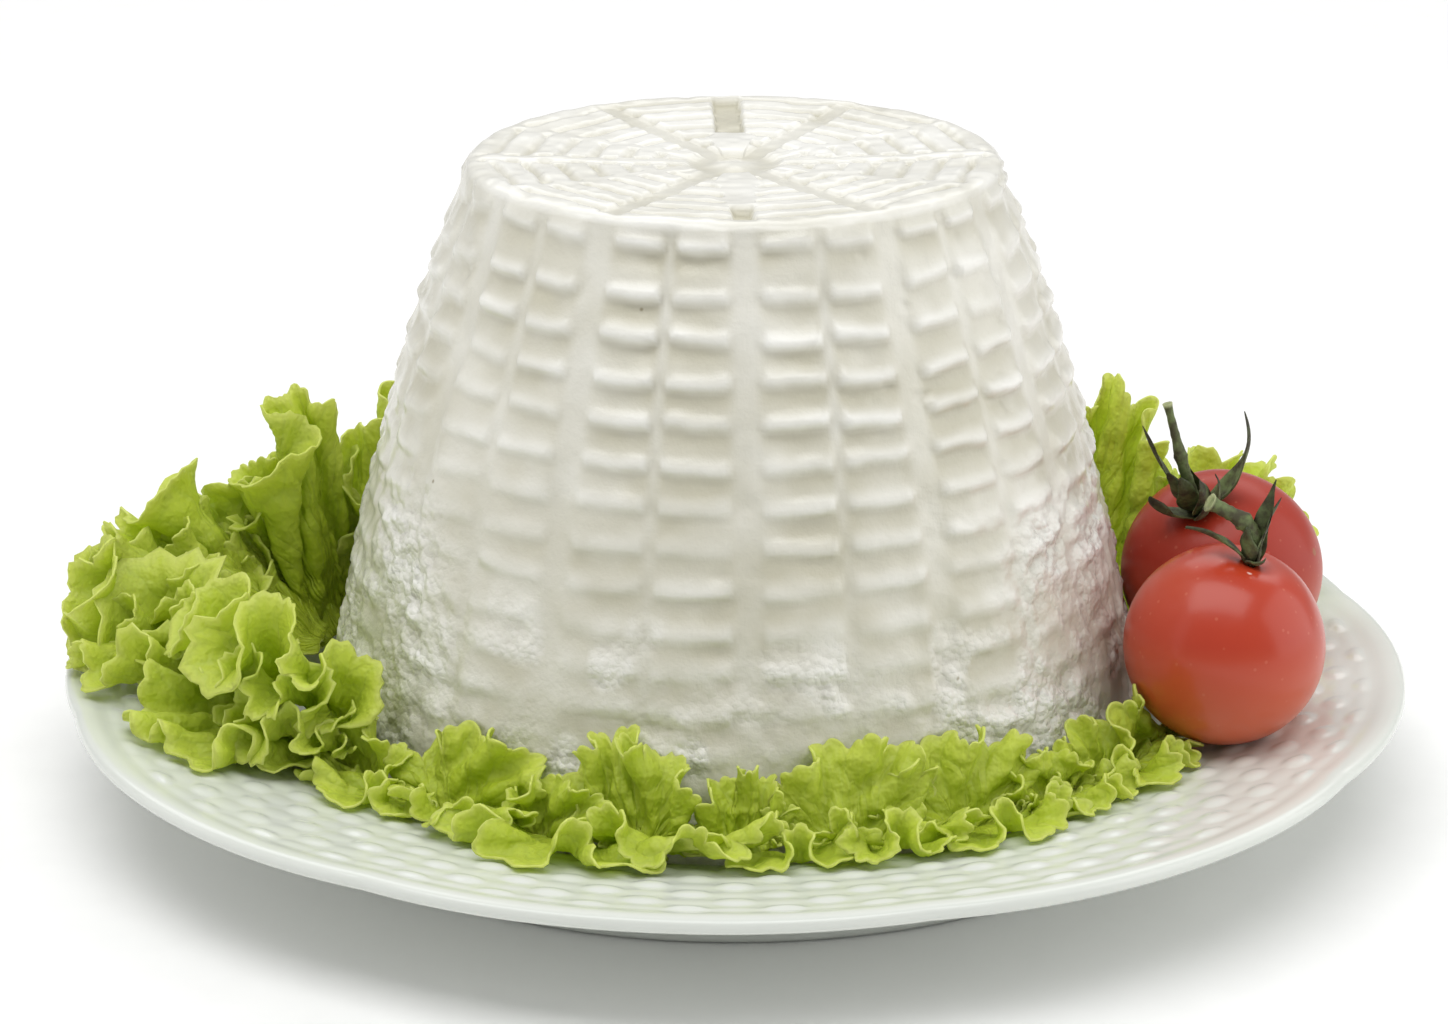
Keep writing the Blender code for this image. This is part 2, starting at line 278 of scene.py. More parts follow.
class RicottaPlateSettings(PropertyGroup):
    """Sizes and colours of the plate."""

    weave_height: length_setting("Weave height", "How proud the woven relief stands on the rim", 0.55, 0.0)
    weave_pitch: length_setting("Weave pitch", "Distance from one ring of the relief to the next", 5.4, 1.0)
    weave_count: IntProperty(name="Weave count", description="Raised ovals in each ring of the relief",
                             default=46, min=8)
    glaze: colour_setting("Glaze", "Colour of the glazed porcelain", "#DFE2DC")


class RicottaCheeseSettings(PropertyGroup):
    """Sizes and colours of the ricotta."""

    rib_pitch: length_setting("Rib pitch", "Height from one basket rib to the next", 7.35, 2.0)
    pocket_depth: length_setting("Pocket depth", "Depth of the pockets between the ribs", 1.7, 0.0)
    crumb_height: length_setting("Crumb height", "Height of the loose curds low on the side", 1.5, 0.0)
    curd: colour_setting("Curd", "Colour of the fresh curd", "#F1F0EA")
    # The whey colour is also the colour of the painted shade in the pockets, in the grooves and towards the
    # foot
    whey_and_shade: colour_setting("Whey", "Colour of the moist curd in the hollows", "#C4C0AC")


class RicottaTomatoSettings(PropertyGroup):
    """Colours of the cherry tomatoes and their calyxes."""

    skin: colour_setting("Skin", "Colour of the front tomato's ripe skin", "#B4331D")
    sepal: colour_setting("Sepal", "Colour of the drying sepals", "#6A784A")


class RicottaLettuceSettings(PropertyGroup):
    """Sizes and colours of the lettuce."""

    thickness: length_setting("Leaf thickness", "Thickness of the leaf's blade", 0.45, 0.1)
    blade: colour_setting("Blade", "Colour of the middle of a leaf", "#CEE03C")
    frill: colour_setting("Frill", "Colour of a leaf's frilled margin", "#E4EF68")


class RicottaStageSettings(PropertyGroup):
    """Light of the studio."""

    key: FloatProperty(name="Softbox", description="Power of the broad softbox above the front, in watts",
                       default=10.0, min=0.0)
    room: FloatProperty(name="Room light", description="Strength of the pale room's own light",
                        default=0.38, min=0.0)


# ---------------------------------------------------------------- plate

def rim_top(radius):
    """Height of the plate's upper surface: flat well, short bend, then a slowly rising rim."""
    slope = (RIM_HEIGHT - RIM_INNER_HEIGHT) / (PLATE_RADIUS - RIM_INNER_RADIUS)
    on_rim = RIM_INNER_HEIGHT + (radius - RIM_INNER_RADIUS) * slope
    return WELL_TOP + (on_rim - WELL_TOP) * smooth(WELL_RADIUS, RIM_INNER_RADIUS, radius)


def plate_profile():
    """Section of the plate, from the middle of its top over the rounded edge to the middle underneath."""
    well = [(radius, WELL_TOP) for radius in (0.0, 20.0, 40.0, 60.0, 72.0)]
    bend = [(radius, float(rim_top(radius))) for radius in np.arange(80.0, 94.0, 1.4)]
    rim = [(radius, float(rim_top(radius))) for radius in np.arange(94.4, BAND_INNER_RADIUS, 0.6)]
    band = [(radius, float(rim_top(radius)) + 0.35 * math.sin(math.pi * (radius - BAND_INNER_RADIUS) / 5.0))
            for radius in np.arange(127.3, 131.2, 0.8)]
    lip = [(LIP_MIDDLE[0] + LIP_SIZE[0] * math.cos(a), LIP_MIDDLE[1] + LIP_SIZE[1] * math.sin(a))
           for a in np.linspace(1.2, -1.9, 9)]
    under = [(126.0, float(rim_top(126.0)) - 2.9), (112.0, float(rim_top(112.0)) - RIM_THICKNESS),
             (95.5, float(rim_top(95.5)) - RIM_THICKNESS - 0.8)]
    outer = FOOT_OUTER_RADIUS
    inner = outer - FOOT_WIDTH
    foot = [(outer + 1.0, 5.2), (outer + 0.15, 1.2), (outer - 0.4, 0.25), (outer - 1.2, 0.0),
            (inner + 1.2, 0.0), (inner + 0.4, 0.25), (inner - 0.2, 1.2)]
    beneath = [(radius, WELL_UNDERSIDE) for radius in (inner - 0.9, 60.0, 30.0, 0.0)]
    return well + bend + rim + band + lip + under + foot + beneath


def weave(points, pitch, count):
    """Height of the woven relief, 0 to 1: rings of pearls joined by low strands, every other ring shifted.

    The pearls' and strands' sizes are half widths round and across the rim, in pitches.
    """
    turn, radius = around(points)
    out = (radius - WEAVE_INNER_RADIUS) / pitch
    ring = np.floor(out)
    across = out - ring - 0.5
    along = turn * count / 360.0 + 0.5 * (ring % 2)
    cell = np.round(along)
    aside = along - cell
    pearl = np.clip(1.0 - (aside / PEARL_SIZE[0]) ** 2 - (across / PEARL_SIZE[1]) ** 2, 0.0, 1.0) ** 0.8
    strand = np.clip(1.0 - ((0.5 - np.abs(aside)) / STRAND_SIZE[0]) ** 2 - (across / STRAND_SIZE[1]) ** 2,
                     0.0, 1.0)
    uneven = 0.75 + 0.5 * hashed(np.stack([ring, cell % count, ring * 0.0], axis=1), 5)
    fade = smooth(94.5, 97.5, radius) * smooth(126.2, 124.0, radius)
    return (pearl * uneven + 0.3 * strand) * fade


def porcelain(colour):
    """Glazed white porcelain, fired: a hard bright gloss over a very slightly uneven, pinholed body."""
    material, tree, shader, place = start_material("Glazed porcelain")
    # Glaze pools over about 30 mm, and pinholes are about 1 mm across and 25 mm apart
    pool = add_node(tree, "ShaderNodeTexNoise", {"Vector": place, "Scale": 34.0, "Detail": 2.0})
    holes = add_node(tree, "ShaderNodeTexVoronoi", {"Vector": place, "Scale": 40.0})
    dark = add_node(tree, "ShaderNodeMapRange", {"Value": holes.outputs["Distance"], "From Min": 0.012,
                                                "From Max": 0.03, "To Min": 1.0, "To Max": 0.0})
    tint = add_node(tree, "ShaderNodeMix", {0: pool.outputs["Fac"], 6: colour, 7: linear("#D8DCD4")},
                    data_type="RGBA")
    specked = add_node(tree, "ShaderNodeMix", {0: dark.outputs["Result"], 6: tint.outputs[2],
                                               7: linear("#6E6A60")}, data_type="RGBA")
    # Orange-peel of the glaze, about 4 mm across and a few hundredths deep
    peel = add_node(tree, "ShaderNodeTexNoise", {"Vector": place, "Scale": 240.0, "Detail": 1.0})
    bump = add_node(tree, "ShaderNodeBump", {"Height": peel.outputs["Fac"], "Strength": 0.12,
                                            "Distance": 0.2 * MM})
    set_inputs(tree, shader, {"Base Color": specked.outputs[2], "Roughness": 0.16, "IOR": 1.52,
                              "Normal": bump.outputs["Normal"]})
    return material


class RICOTTA_OT_plate(Operator):
    """Build the glazed plate with its lobed edge and woven relief."""

    bl_idname = "ricotta.plate"
    bl_label = "Build Plate"

    def execute(self, context):
        settings = context.scene.ricotta_plate
        mesh = mesh_from(turned(plate_profile(), PLATE_STEPS), "dinner_plate")
        points = coordinates(mesh)
        turn, radius = around(points)
        upward = directions(mesh)[:, 2]
        raised = weave(points, settings.weave_pitch / MM, settings.weave_count)
        points[:, 2] += settings.weave_height / MM * raised * (upward > 0.5)
        swell = np.abs(np.sin(np.radians((turn - FIRST_NOTCH) * PLATE_LOBES / 2.0)))
        inward = LOBE_DEPTH * smooth(RIM_INNER_RADIUS, PLATE_RADIUS, radius) * (1.0 - swell) ** 1.5
        points[:, :2] *= (1.0 - inward)[:, None]
        set_coordinates(mesh, points)
        place_piece(mesh, porcelain(settings.glaze), "porcelain", "plate")
        return {"FINISHED"}


# ---------------------------------------------------------------- ricotta

def cheese_radius(height):
    """The cheese's outer radius at a height: a cone with a slight bulge."""
    t = (height - CHEESE_BOTTOM) / (CONE_TOP - CHEESE_BOTTOM)
    cone = CHEESE_FOOT_RADIUS + (CHEESE_TOP_RADIUS - CHEESE_FOOT_RADIUS) * t
    return cone + CHEESE_BULGE * 4.0 * t * (1.0 - t)


def cheese_profile():
    """Section of the cheese, from the middle of its top down its side to the middle of its base."""
    reach = cheese_radius(121.2) - TOP_FLAT_RADIUS
    rings = np.concatenate([np.linspace(0.0, 12.0, 11), np.linspace(12.6, TOP_FLAT_RADIUS, 60)])
    top = [(radius, CHEESE_TOP) for radius in rings]
    edge = [(TOP_FLAT_RADIUS + reach * math.sin(a), CHEESE_TOP - 3.8 * (1.0 - math.cos(a)))
            for a in np.linspace(0.25, math.pi / 2, 7)]
    heights = np.concatenate([np.arange(120.5, 56.0, -0.68), np.linspace(55.4, 12.9, 42)])
    side = [(float(cheese_radius(height)), height) for height in heights]
    foot = [(float(cheese_radius(12.9)) - 6.0 * (1.0 - math.cos(a)), 12.9 - 6.0 * math.sin(a))
            for a in np.linspace(0.35, math.pi / 2, 4)]
    return top + edge + side + foot + [(radius, CHEESE_BOTTOM) for radius in (50.0, 25.0, 0.0)]


def side_relief(points, pitch, depth):
    """Depth that the basket leaves in the side, how much of it is bar, and how much is pocket.

    Short bars of curd stand proud of the ground in rows. Each bar has a slope above its crest and a
    sharp drop below it. Plain strips run down between the panels and a narrower one in each panel's middle.
    """
    turn, radius = around(points)
    turn = (turn - BASKET_TURN) % 360.0
    height = points[:, 2]
    rough = 0.35 + 0.65 * smooth(24.0, 48.0, np.minimum(turn, 360.0 - turn))
    drift = 0.45 * soft_noise(points, 9.0, 15) * rough
    arc = radius * math.pi / 180.0
    panel = turn % PANEL
    from_strip = np.minimum(panel, PANEL - panel) * arc - 2.5 + 1.3 * drift
    from_middle = np.abs(panel - PANEL / 2.0) * arc - 1.0 + drift
    column = np.floor(turn / (PANEL / 2.0)) % 24
    across = (turn % (PANEL / 2.0) - PANEL / 4.0) / (PANEL / 4.0)

    def own(row, seed):
        """A number of each bar's own, from -0.5 to 0.5."""
        return hashed(np.stack([column, row, row * 0.0], axis=1), seed) - 0.5

    def crest(row):
        """Height of a bar's crest: nearly level, with a small slip, tilt and sag of its own."""
        return (FIRST_CREST - row * pitch + 1.6 * (row == 0.0) + (0.4 + 0.7 * rough) * own(row, 11)
                + (0.5 + 1.2 * rough) * own(row, 12) * across - 0.35 * (1.0 - across * across) + drift
                + 0.35 * soft_noise(points, 3.6, 17))

    row = np.floor((FIRST_CREST - height) / pitch)
    row = np.where(height > crest(row), row - 1.0, row)
    row = np.where(height < crest(row + 1.0), row + 1.0, row)
    below_crest = crest(row) - height
    above_next = height - crest(row + 1.0)
    proud = 1.0 + 0.5 * own(row, 13)
    proud_next = 1.0 + 0.5 * own(row + 1.0, 13)
    slope = np.interp(height, [50.0, 95.0], [3.6, 2.4])
    bar = np.maximum(smooth(slope, 0.0, above_next) * proud_next, smooth(2.0, 0.1, below_crest) * proud)
    bar = np.where(row < -0.5, np.maximum(smooth(1.5, 0.0, above_next), 0.45) * proud_next, bar)
    ends = smooth(-0.5, 1.5, from_strip) * smooth(-0.5, 1.0, from_middle)
    signed = (turn + 180.0) % 360.0 - 180.0
    fade = np.interp(height, [22.0, 36.0, 54.0, 70.0, 86.0, 98.0], [0.1, 0.4, 0.5, 0.62, 0.88, 1.0])
    fade *= np.interp(signed, [-60.0, -28.0, -16.0, 12.0, 26.0, 60.0], [0.62, 0.66, 1.0, 1.0, 0.85, 0.75])
    fade *= 0.95 + 0.5 * soft_noise(points, 18.0, 14)
    floor = 1.0 - 0.5 * smooth(2.0, 6.8, below_crest)
    in_strip = smooth(1.4, -1.2, from_strip)
    in_middle = smooth(1.1, -1.0, from_middle) * (1.0 - in_strip)
    pocket = fade * floor * (1.0 - np.minimum(bar * ends, 1.05)) * (1.0 - in_strip) * (1.0 - in_middle)
    always = np.interp(height, [22.0, 45.0, 100.0], [0.05, 0.28, 0.38])
    rim = smooth(122.9, 124.5, height)
    plain = in_strip * (always + 0.42 * fade)
    sunk = depth * (pocket + plain + in_middle * (0.2 + 0.66 * fade)) * (1.0 - 0.85 * rim)
    return sunk, bar * ends * fade * (1.0 - rim), pocket * (1.0 - rim)


def top_relief(points):
    """Height of the basket floor's print on the top: bars between spokes, slots, ridges and hub."""
    turn, radius = around(points)
    turn = (turn - BASKET_TURN) % 360.0
    out = radius * np.cos(np.radians(turn % PANEL - PANEL / 2.0))
    spoke = np.round(turn / PANEL) % 12
    from_spoke = np.abs(radius * np.sin(np.radians(turn - np.round(turn / PANEL) * PANEL)))
    dish = -TOP_DISH * (1.0 - (np.minimum(radius, TOP_PRINT_RADIUS) / TOP_PRINT_RADIUS) ** 2)
    height = dish.copy()
    # Bars with narrow grooves between them, fainter to the sides
    step = (out - TOP_BAR_START) / TOP_BAR_PITCH
    ragged = 0.25 * soft_noise(points, 3.0, 23)
    groove = 1.0 - smooth(0.35, 1.35, np.abs(step - np.round(step)) * TOP_BAR_PITCH + ragged)
    end = 46.9 + 1.6 * soft_noise(points, 8.0, 24)
    bars = smooth(12.0, 15.0, out) * smooth(end, end - 1.3, out)
    crisp = np.where(np.isin(np.round(turn / (2.0 * PANEL)) % 6, (0, 3)), 1.15, 0.6)
    crisp = np.clip(crisp + 0.5 * soft_noise(points, 12.0, 25), 0.25, 1.3)
    height -= 0.95 * crisp * groove * bars
    height += 0.2 * bars * (1.0 - groove)
    # Plain spokes are flat sunk bands; the ones at the sides are toothed ridges
    plain = np.isin(spoke, (1, 5, 7, 11))
    slotted = np.isin(spoke, (0, 6))
    ridged = np.isin(spoke, (3, 9))
    lesser = np.isin(spoke, (2, 4, 8, 10))
    inside = smooth(3.0, 7.0, radius) * smooth(49.5, 47.5, radius)
    band = smooth(2.9, 1.7, from_spoke) * inside
    height = np.where(plain, height * (1.0 - band) + band * (dish - 0.55), height)
    step = (radius - TOP_BAR_START) / TOP_BAR_PITCH
    tooth = smooth(0.25, 0.4, np.abs(step - np.round(step)))
    ridge = smooth(1.7, 0.9, from_spoke)
    moat = smooth(3.6, 2.9, from_spoke) * (1.0 - ridge)
    height = np.where(ridged, height * (1.0 - (ridge + moat) * inside)
                      + (dish + 0.35) * ridge * inside
                      + (dish - 0.75 * tooth + 0.1 * (1.0 - tooth)) * moat * inside, height)
    height = np.where(lesser, height * (1.0 - ridge * inside) + (dish + 0.2) * ridge * inside, height)
    # Deep slots at the front and the back, with a smooth tongue inside the front one
    front = spoke == 0
    start = np.where(front, 37.0, 23.0)
    wide = np.where(front, 1.9, 2.7)
    slot_band = smooth(wide + 0.35, wide - 0.35, from_spoke) * smooth(start - 0.4, start + 0.4, radius)
    slot_band *= smooth(48.6, 47.6, radius)
    tongue_wide = np.interp(radius, [10.0, 18.0, 19.0, 22.0], [3.0, 5.9, 5.9, 3.2])
    tongue = smooth(tongue_wide + 0.4, tongue_wide - 0.4, from_spoke) * smooth(7.0, 9.0, radius)
    tongue *= smooth(start + 0.2, start - 0.4, radius) * slotted
    height = height * (1.0 - tongue) + (dish + 0.3) * tongue
    height = np.where(slotted, height * (1.0 - slot_band) + (dish - 1.7) * slot_band, height)
    hub = smooth(10.0, 7.5, radius) * (1.0 - tongue)
    height = height * (1.0 - hub) + (dish - 0.35 - 0.35 * smooth(2.0, 6.0, radius)) * hub
    height += 0.24 * soft_noise(points, 7.0, 21) + 0.13 * soft_noise(points, 2.4, 22)
    return height, dish


def fresh_curd(curd, whey_and_shade):
    """Fresh ricotta, drained in a basket: moist white curd, matt on its proud skin, with painted shade in the
    hollows and a painted highlight on the proud bars.
    """
    material, tree, shader, place = start_material("Fresh ricotta curd")
    # Painted shade in the pockets and grooves and a painted highlight on the bar crests, worked out on the
    # mesh
    whey_and_painted_light = add_node(tree, "ShaderNodeAttribute", attribute_name="whey_and_painted_light").outputs["Fac"]
    # Whey gathers in patches about 20 mm across
    patches = add_node(tree, "ShaderNodeTexNoise", {"Vector": place, "Scale": 50.0, "Detail": 3.0})
    patchy = add_node(tree, "ShaderNodeMapRange", {"Value": patches.outputs["Fac"], "From Min": 0.35,
                                                  "From Max": 0.75, "To Min": 0.0, "To Max": 0.34})
    # Painted shade: the cheese is painted darker and yellower towards its foot, where the lettuce shades it
    # and throws green light on it
    upright = add_node(tree, "ShaderNodeSeparateXYZ", {"Vector": place}).outputs["Z"]
    painted_shade_low = add_node(tree, "ShaderNodeMapRange", {"Value": upright, "From Min": 20.0 * MM,
                                                   "From Max": 105.0 * MM, "To Min": 0.42, "To Max": 0.0})
    damp_and_painted_light = add_node(tree, "ShaderNodeMath", {0: patchy.outputs["Result"], 1: painted_shade_low.outputs["Result"]},
                    operation="ADD")
    # Broken curd is painted whiter than the smooth skin, painted light that lifts the shade on the sides of
    # its bumps
    crumb = add_node(tree, "ShaderNodeAttribute", attribute_name="crumb").outputs["Fac"]
    damp_and_painted_light = add_node(tree, "ShaderNodeMath", {0: crumb, 1: -0.45, 2: damp_and_painted_light.outputs[0]},
                    operation="MULTIPLY_ADD")
    wet_and_painted_light = add_node(tree, "ShaderNodeMath", {0: whey_and_painted_light, 1: damp_and_painted_light.outputs[0]}, operation="ADD", use_clamp=True)
    body = add_node(tree, "ShaderNodeMix", {0: wet_and_painted_light.outputs[0], 6: curd, 7: whey_and_shade}, data_type="RGBA")
    # A few dark specks, under 1 mm and about 20 mm apart
    specks = add_node(tree, "ShaderNodeTexVoronoi", {"Vector": place, "Scale": 52.0})
    dark = add_node(tree, "ShaderNodeMapRange", {"Value": specks.outputs["Distance"], "From Min": 0.012,
                                                "From Max": 0.026, "To Min": 0.8, "To Max": 0.0})
    coloured = add_node(tree, "ShaderNodeMix", {0: dark.outputs["Result"], 6: body.outputs[2],
                                                7: linear("#8F8467")}, data_type="RGBA")
    # Curd grain, about 1.4 mm, with finer pores in it
    grain = add_node(tree, "ShaderNodeTexNoise", {"Vector": place, "Scale": 700.0, "Detail": 3.0,
                                                 "Roughness": 0.6})
    swell = add_node(tree, "ShaderNodeTexNoise", {"Vector": place, "Scale": 210.0, "Detail": 2.0})
    both = add_node(tree, "ShaderNodeMath", {0: grain.outputs["Fac"], 1: swell.outputs["Fac"]},
                    operation="ADD")
    # Loose crumbs of curd, about 1.5 mm, where the curd has broken
    lumps = add_node(tree, "ShaderNodeTexVoronoi", {"Vector": place, "Scale": 680.0})
    loose = add_node(tree, "ShaderNodeMath", {0: lumps.outputs["Distance"], 1: crumb}, operation="MULTIPLY")
    both = add_node(tree, "ShaderNodeMath", {0: loose.outputs[0], 1: -1.3, 2: both.outputs[0]},
                    operation="MULTIPLY_ADD")
    rougher = add_node(tree, "ShaderNodeMapRange", {"Value": crumb, "To Min": 0.3, "To Max": 0.8})
    wetter = add_node(tree, "ShaderNodeMapRange", {"Value": crumb, "To Min": 0.5, "To Max": 0.25})
    bump = add_node(tree, "ShaderNodeBump", {"Height": both.outputs[0], "Strength": rougher.outputs["Result"],
                                            "Distance": 0.5 * MM})
    # A film of whey gives the proud edges their small white shines
    set_inputs(tree, shader, {"Base Color": coloured.outputs[2], "Roughness": wetter.outputs["Result"],
                              "IOR": 1.4, "Coat Weight": 0.8, "Coat Roughness": 0.2, "Coat IOR": 1.45,
                              "Normal": bump.outputs["Normal"]})
    return material


class RICOTTA_OT_cheese(Operator):
    """Build the ricotta with the print of its basket and its loose curds."""

    bl_idname = "ricotta.cheese"
    bl_label = "Build Ricotta"

    def execute(self, context):
        settings = context.scene.ricotta_cheese
        mesh = mesh_from(turned(cheese_profile(), CHEESE_STEPS), "basket_ricotta")
        points = coordinates(mesh)
        normal = directions(mesh)
        turn = around(points)[0]
        height = points[:, 2]
        on_side = smooth(0.93, 0.6, normal[:, 2]) * smooth(8.0, 13.0, height)
        sunk, bar, pocket = side_relief(points, settings.rib_pitch / MM, settings.pocket_depth / MM)
        # Loose curds round the foot, higher up towards the tomatoes and on the left
        low = smooth(58.0, 38.0, height) * (0.5 + 0.5 * smooth(16.0, 40.0, np.abs(turn)))
        right = smooth(20.0, 46.0, turn) * smooth(150.0, 110.0, turn) * smooth(86.0, 54.0, height)
        left = smooth(-34.0, -62.0, turn) * smooth(-160.0, -120.0, turn) * smooth(88.0, 50.0, height)
        patch = 0.66 + 0.8 * soft_noise(points, 15.0, 31) + 0.3 * soft_noise(points, 5.0, 30)
        torn = smooth(0.1, 0.4, soft_noise(points, 8.0, 40)) * smooth(66.0, 40.0, height)
        crumb = np.clip(np.maximum(np.maximum(low, np.maximum(right, left)) * patch, 0.9 * torn), 0.0, 1.0)
        loose = (0.4 * smooth(0.35, 0.98, grains(points, 5.0, 32))
                 + 0.6 * smooth(0.4, 0.98, grains(points, 2.6, 33)) - 0.45)
        swell = (0.5 * soft_noise(points, 34.0, 34) + 0.4 * soft_noise(points, 12.0, 35)
                 + 0.2 * soft_noise(points, 4.0, 38))
        pits = smooth(0.5, 0.75, soft_noise(points, 3.2, 36)) * smooth(0.1, 0.5, soft_noise(points, 21.0, 37))
        out = settings.crumb_height / MM * crumb * loose * 1.1 + swell - 0.5 * pits
        moved = points + normal * ((out - sunk) * on_side)[:, None]
        printed, dish = top_relief(points)
        on_top = smooth(0.6, 0.95, normal[:, 2]) * (height > 100.0)
        moved[:, 2] += printed * on_top
        set_coordinates(mesh, moved)
        # How dark each spot is painted, from 0 on the whitest skin to 1: painted shade in the pockets, the
        # recesses and between the loose grains, a painted highlight on the bar crests and the grain tops, and
        # random patches of whey
        side_whey_and_painted_light = (0.32 + 0.08 * sunk + 0.4 * pocket - 0.3 * loose * crumb - 0.3 * bar
                + 0.14 * soft_noise(points, 6.0, 39))
        # On the top, painted shade deepens with the depth of the basket print's grooves
        depth = np.where(on_top > 0.5, 0.14 + 0.6 * (dish - printed), side_whey_and_painted_light)
        add_attribute(mesh, "whey_and_painted_light", np.clip(depth, 0.0, 1.0))
        add_attribute(mesh, "crumb", crumb * on_side)
        place_piece(mesh, fresh_curd(settings.curd, settings.whey_and_shade), "cheese", "ricotta")
        return {"FINISHED"}


# ---------------------------------------------------------------- tomatoes

def tomato_size(node):
    """Middle and radius of a tomato, in millimetres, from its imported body."""
    low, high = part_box(node)
    return (low + high) / 2.0 / MM, max(high - low) / 2.0 / MM


def tomato_turn(node):
    """Rotation that takes the up direction to the tomato's stalk."""
    return Vector((0.0, 0.0, 1.0)).rotation_difference(TOMATO_NODES[node].normalized()).to_matrix()


def tomato_skin(name, colour, ripe, shine, middle, marks):
    """Ripe cherry tomato: a thin taut waxy skin, with a broad soft shine and faint pale flecks."""
    material, tree, shader, place = start_material(name)
    # Ripening blush over about 20 mm
    blush = add_node(tree, "ShaderNodeTexNoise", {"Vector": place, "Scale": 45.0, "Detail": 2.0})
    body = add_node(tree, "ShaderNodeMix", {0: blush.outputs["Fac"], 6: colour, 7: ripe},
                    data_type="RGBA")
    # The lower part is painted lighter and more orange: partly a paler blossom end, partly painted bounce
    # light from the plate
    upright = add_node(tree, "ShaderNodeSeparateXYZ", {"Vector": place}).outputs["Z"]
    low = add_node(tree, "ShaderNodeMapRange", {"Value": upright, "From Min": (middle[2] - 15.0) * MM,
                                               "From Max": (middle[2] + 6.0) * MM, "To Min": 0.55,
                                               "To Max": 0.0})
    body = add_node(tree, "ShaderNodeMix", {0: low.outputs["Result"], 6: body.outputs[2],
                                            7: linear("#E67A4C")}, data_type="RGBA")
    # Pale flecks 0.3 mm across, drawn at 0.6 mm so that they show
    flecks = add_node(tree, "ShaderNodeTexVoronoi", {"Vector": place, "Scale": 330.0})
    fleck = add_node(tree, "ShaderNodeMapRange", {"Value": flecks.outputs["Distance"], "From Min": 0.06,
                                                 "From Max": 0.14, "To Min": 0.22, "To Max": 0.0})
    flecked = add_node(tree, "ShaderNodeMix", {0: fleck.outputs["Result"], 6: body.outputs[2],
                                               7: linear("#D98A6A")}, data_type="RGBA")
    last = flecked.outputs[2]
    for offset, size, mark in marks:
        spot = [m + o for m, o in zip(middle, offset)]
        away = add_node(tree, "ShaderNodeVectorMath", {0: place, 1: [c * MM for c in spot]},
                        operation="DISTANCE")
        ragged = add_node(tree, "ShaderNodeTexNoise", {"Vector": place, "Scale": 900.0, "Detail": 2.0})
        edge = add_node(tree, "ShaderNodeMath", {0: ragged.outputs["Fac"], 1: size * MM * 0.9,
                                                 2: away.outputs["Value"]}, operation="MULTIPLY_ADD")
        inside = add_node(tree, "ShaderNodeMapRange", {"Value": edge.outputs[0], "From Min": size * MM,
                                                      "From Max": size * MM * 1.35, "To Min": 1.0,
                                                      "To Max": 0.0})
        last = add_node(tree, "ShaderNodeMix", {0: inside.outputs["Result"], 6: last, 7: linear(mark)},
                        data_type="RGBA").outputs[2]
    # Taut skin with a very slight unevenness, about 8 mm across
    wave = add_node(tree, "ShaderNodeTexNoise", {"Vector": place, "Scale": 120.0, "Detail": 2.0})
    bump = add_node(tree, "ShaderNodeBump", {"Height": wave.outputs["Fac"], "Strength": 0.25,
                                            "Distance": 0.5 * MM})
    set_inputs(tree, shader, {"Base Color": last, "Roughness": 0.38, "IOR": 1.36, "Coat Weight": shine,
                              "Coat Roughness": 0.2, "Normal": bump.outputs["Normal"]})
    return material


# The rear tomato's skin, the blush on each skin, and how much its wax shines
REAR_SKIN = "#A62D1D"
BLUSHES = {"tomato_front": ("#B63C1A", 0.48), "tomato_rear": ("#A23420", 0.1)}
# Marks on each skin: where, from the tomato's middle, how big, in millimetres, and its colour
SKIN_MARKS = {
    "tomato_front": [((3.4, -7.5, 17.5), 0.75, "#EBC9C0"), ((5.3, -6.8, 17.2), 0.35, "#D98A5A")],
    "tomato_rear": [((17.2, -8.0, 6.5), 1.1, "#9C5A35"), ((17.9, -7.0, 4.0), 0.7, "#A8643A")],
}


class RICOTTA_OT_tomatoes(Operator):
    """Build the two cherry tomatoes."""

    bl_idname = "ricotta.tomatoes"
    bl_label = "Build Tomatoes"

    def execute(self, context):
        settings = context.scene.ricotta_tomato
        for node in TOMATO_NODES:
            middle, radius = tomato_size(node)
            bm = bmesh.new()
            bmesh.ops.create_uvsphere(bm, u_segments=128, v_segments=72, radius=radius * MM)
            bmesh.ops.rotate(bm, verts=bm.verts, cent=(0.0, 0.0, 0.0), matrix=tomato_turn(node))
            mesh = mesh_from(bm, node.replace("tomato", "cherry_tomato"))
            points = coordinates(mesh)
            unit = points / np.linalg.norm(points, axis=1)[:, None]
            stalk = np.array(TOMATO_NODES[node].normalized())
            from_stalk = np.arccos(np.clip(unit @ stalk, -1.0, 1.0))
            side = np.cross(stalk, (0.0, 1.0, 0.0))
            side /= np.linalg.norm(side)
            round_it = np.arctan2(unit @ np.cross(stalk, side), unit @ side)
            lobes = 0.006 * np.cos(round_it * 4.0 + 1.0) * np.sin(from_stalk) ** 2
            dent = 1.7 / radius * np.exp(-(from_stalk / 0.24) ** 2)
            shoulder = 0.012 * np.exp(-((from_stalk - 0.55) / 0.25) ** 2)
            flat = 0.012 * np.exp(-((from_stalk - math.pi) / 0.35) ** 2)
            size = radius * (0.992 + lobes - dent + shoulder - flat + 0.003 * soft_noise(points, 11.0, 41))
            set_coordinates(mesh, unit * size[:, None] + np.array(middle))
            colour = settings.skin if node == "tomato_front" else linear(REAR_SKIN)
            blush, shine = BLUSHES[node]
            skin = tomato_skin("Ripe tomato skin " + node.split("_")[1], colour, linear(blush), shine, middle,
                               SKIN_MARKS[node])
            place_piece(mesh, skin, "tomato", node)
        return {"FINISHED"}


